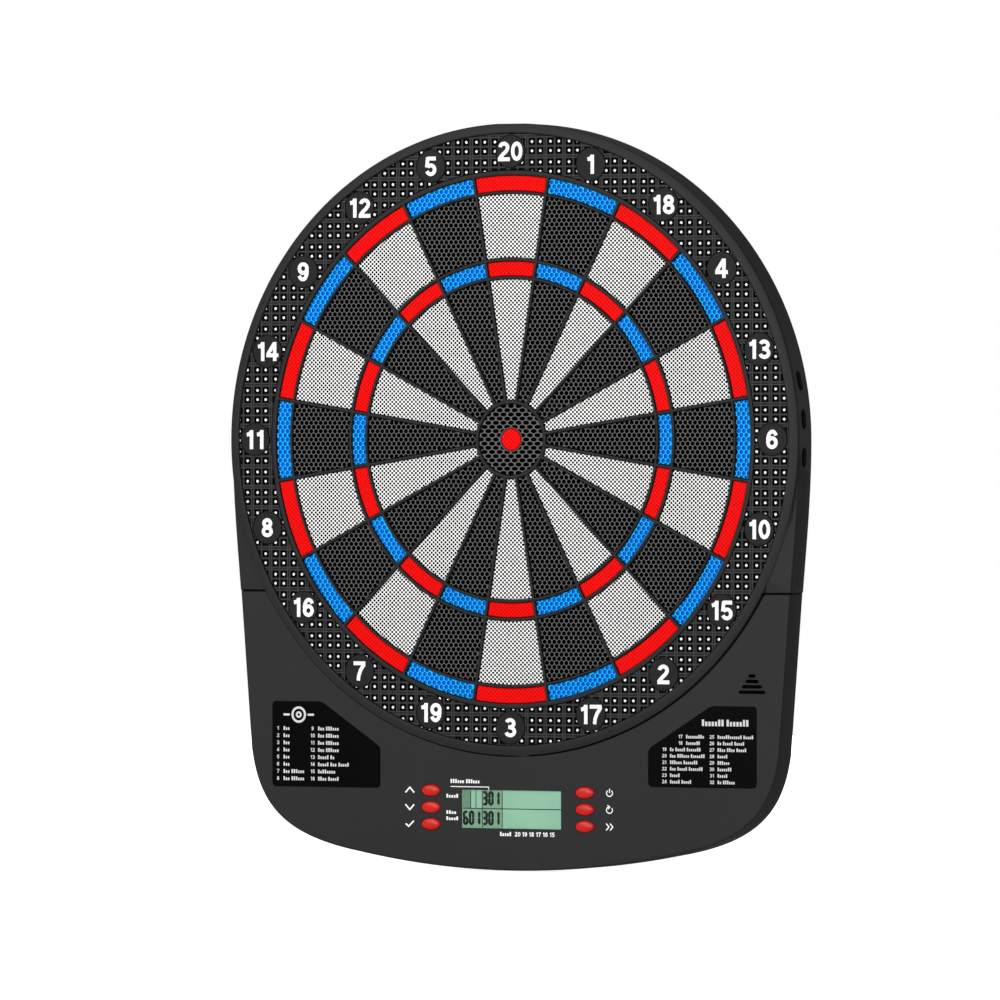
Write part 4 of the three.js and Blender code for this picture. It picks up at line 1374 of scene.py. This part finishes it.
INSIDE = {
    "rubber_sheet": (RUBBER, "rubber_sheet", 0.2),
    "sensor_membrane": (FILM, "membrane_film", 0.05),
    "backing_board": (FIBRE, "backing_fibreboard", 0.3),
    "main_board": (BOARD, "circuit_board", 0.1),
    "tail_connector": (NYLON, "connector_plastic", 0.3),
    "controller_chip": (RESIN, "chip_resin", 0.2),
    "keypad_mat_left": (KEYPAD, "keypad_rubber", 0.3),
    "keypad_mat_right": (KEYPAD, "keypad_rubber", 0.3),
    "speaker": (CONE, "speaker_case", 0.3),
    "battery_1": (WRAP, "battery_wrap", 0.3),
    "battery_2": (WRAP, "battery_wrap", 0.3),
    "battery_3": (WRAP, "battery_wrap", 0.3),
    "battery_contacts_left": (CONTACT, "contact_metal", 0.1),
    "battery_contacts_right": (CONTACT, "contact_metal", 0.1),
}
for node, (material, slot, edge) in INSIDE.items():
    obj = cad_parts[node]
    obj.data.materials.clear()
    obj.data.materials.append(material)
    soften = obj.modifiers.new("edges", "BEVEL")
    soften.width, soften.segments, soften.limit_method = edge * MM, 2, "ANGLE"
    soften.angle_limit = math.radians(50)


# Camera and surroundings

AZIMUTH, ELEVATION, DISTANCE = math.radians(26.31), math.radians(0.27), 6.75
LEVEL_SHARE = math.cos(ELEVATION)
BACK = Vector((math.sin(AZIMUTH) * LEVEL_SHARE, -math.cos(AZIMUTH) * LEVEL_SHARE, math.sin(ELEVATION)))
camera = bpy.data.objects.new("camera", bpy.data.cameras.new("camera"))
scene.collection.objects.link(camera)
turn = BACK.to_track_quat("Z", "Y")
right, up = turn @ Vector((1, 0, 0)), turn @ Vector((0, 1, 0))
aim = Vector((0, -0.024, 0)) - right * 0.00711 - up * 0.03912
camera.rotation_mode = "QUATERNION"
camera.rotation_quaternion = turn
camera.location = aim + BACK * DISTANCE
camera.data.lens = 375.9
camera.data.sensor_width = 36.0
camera.data.clip_start, camera.data.clip_end = 0.1, 100.0
scene.camera = camera
scene.view_settings.view_transform = "Standard"


def lamp(name, place, target, wide, high, power):
    light = bpy.data.lights.new(name, "AREA")
    light.shape = "RECTANGLE"
    light.size, light.size_y, light.energy = wide, high, power
    obj = bpy.data.objects.new(name, light)
    scene.collection.objects.link(obj)
    obj.location = place
    obj.rotation_mode = "QUATERNION"
    obj.rotation_quaternion = (Vector(place) - Vector(target)).to_track_quat("Z", "Y")
    return obj


lamp("key_light", (-1.3, -2.9, 1.5), (0, 0, -0.05), 2.4, 2.0, 54)
lamp("fill_light", (0.1, -3.3, 0.25), (0, 0, -0.1), 2.4, 1.0, 46)
lamp("back_light", (-0.5, 3.2, 0.1), (0, 0, -0.05), 2.0, 0.7, 36)

world = bpy.data.worlds.new("studio")
scene.world = world
world.use_nodes = True
tree = world.node_tree
plain = tree.nodes["Background"]
plain.inputs["Color"].default_value = (1, 1, 1, 1)
plain.inputs["Strength"].default_value = 0.25
seen = tree.nodes.new("ShaderNodeBackground")
seen.inputs["Color"].default_value = (1, 1, 1, 1)
rays = tree.nodes.new("ShaderNodeLightPath")
mix = tree.nodes.new("ShaderNodeMixShader")
tree.links.new(rays.outputs["Is Camera Ray"], mix.inputs["Fac"])
tree.links.new(plain.outputs["Background"], mix.inputs[1])
tree.links.new(seen.outputs["Background"], mix.inputs[2])
tree.links.new(mix.outputs["Shader"], tree.nodes["World Output"].inputs["Surface"])

half = 3.0
level = CAD_BOX[0].z - 0.0005
floor_mesh = bpy.data.meshes.new("floor")
floor_corners = [(x, z, level) for x, z in rectangle(-half, half, -half, half)]
floor_mesh.from_pydata(floor_corners, [], [(0, 1, 2, 3)])
floor_look = bpy.data.materials.new("floor_pale")
floor_look.use_nodes = True
floor_surface = floor_look.node_tree.nodes["Principled BSDF"]
floor_surface.inputs["Base Color"].default_value = (0.9, 0.9, 0.9, 1)
floor_surface.inputs["Roughness"].default_value = 0.9
floor_surface.inputs["Emission Color"].default_value = (1, 1, 1, 1)
floor_rays = floor_look.node_tree.nodes.new("ShaderNodeLightPath")
glow = math_node(floor_look.node_tree, "MULTIPLY", floor_rays.outputs["Is Camera Ray"], 0.8)
floor_look.node_tree.links.new(glow, floor_surface.inputs["Emission Strength"])
floor_mesh.materials.append(floor_look)
floor = bpy.data.objects.new("floor", floor_mesh)
scene.collection.objects.link(floor)
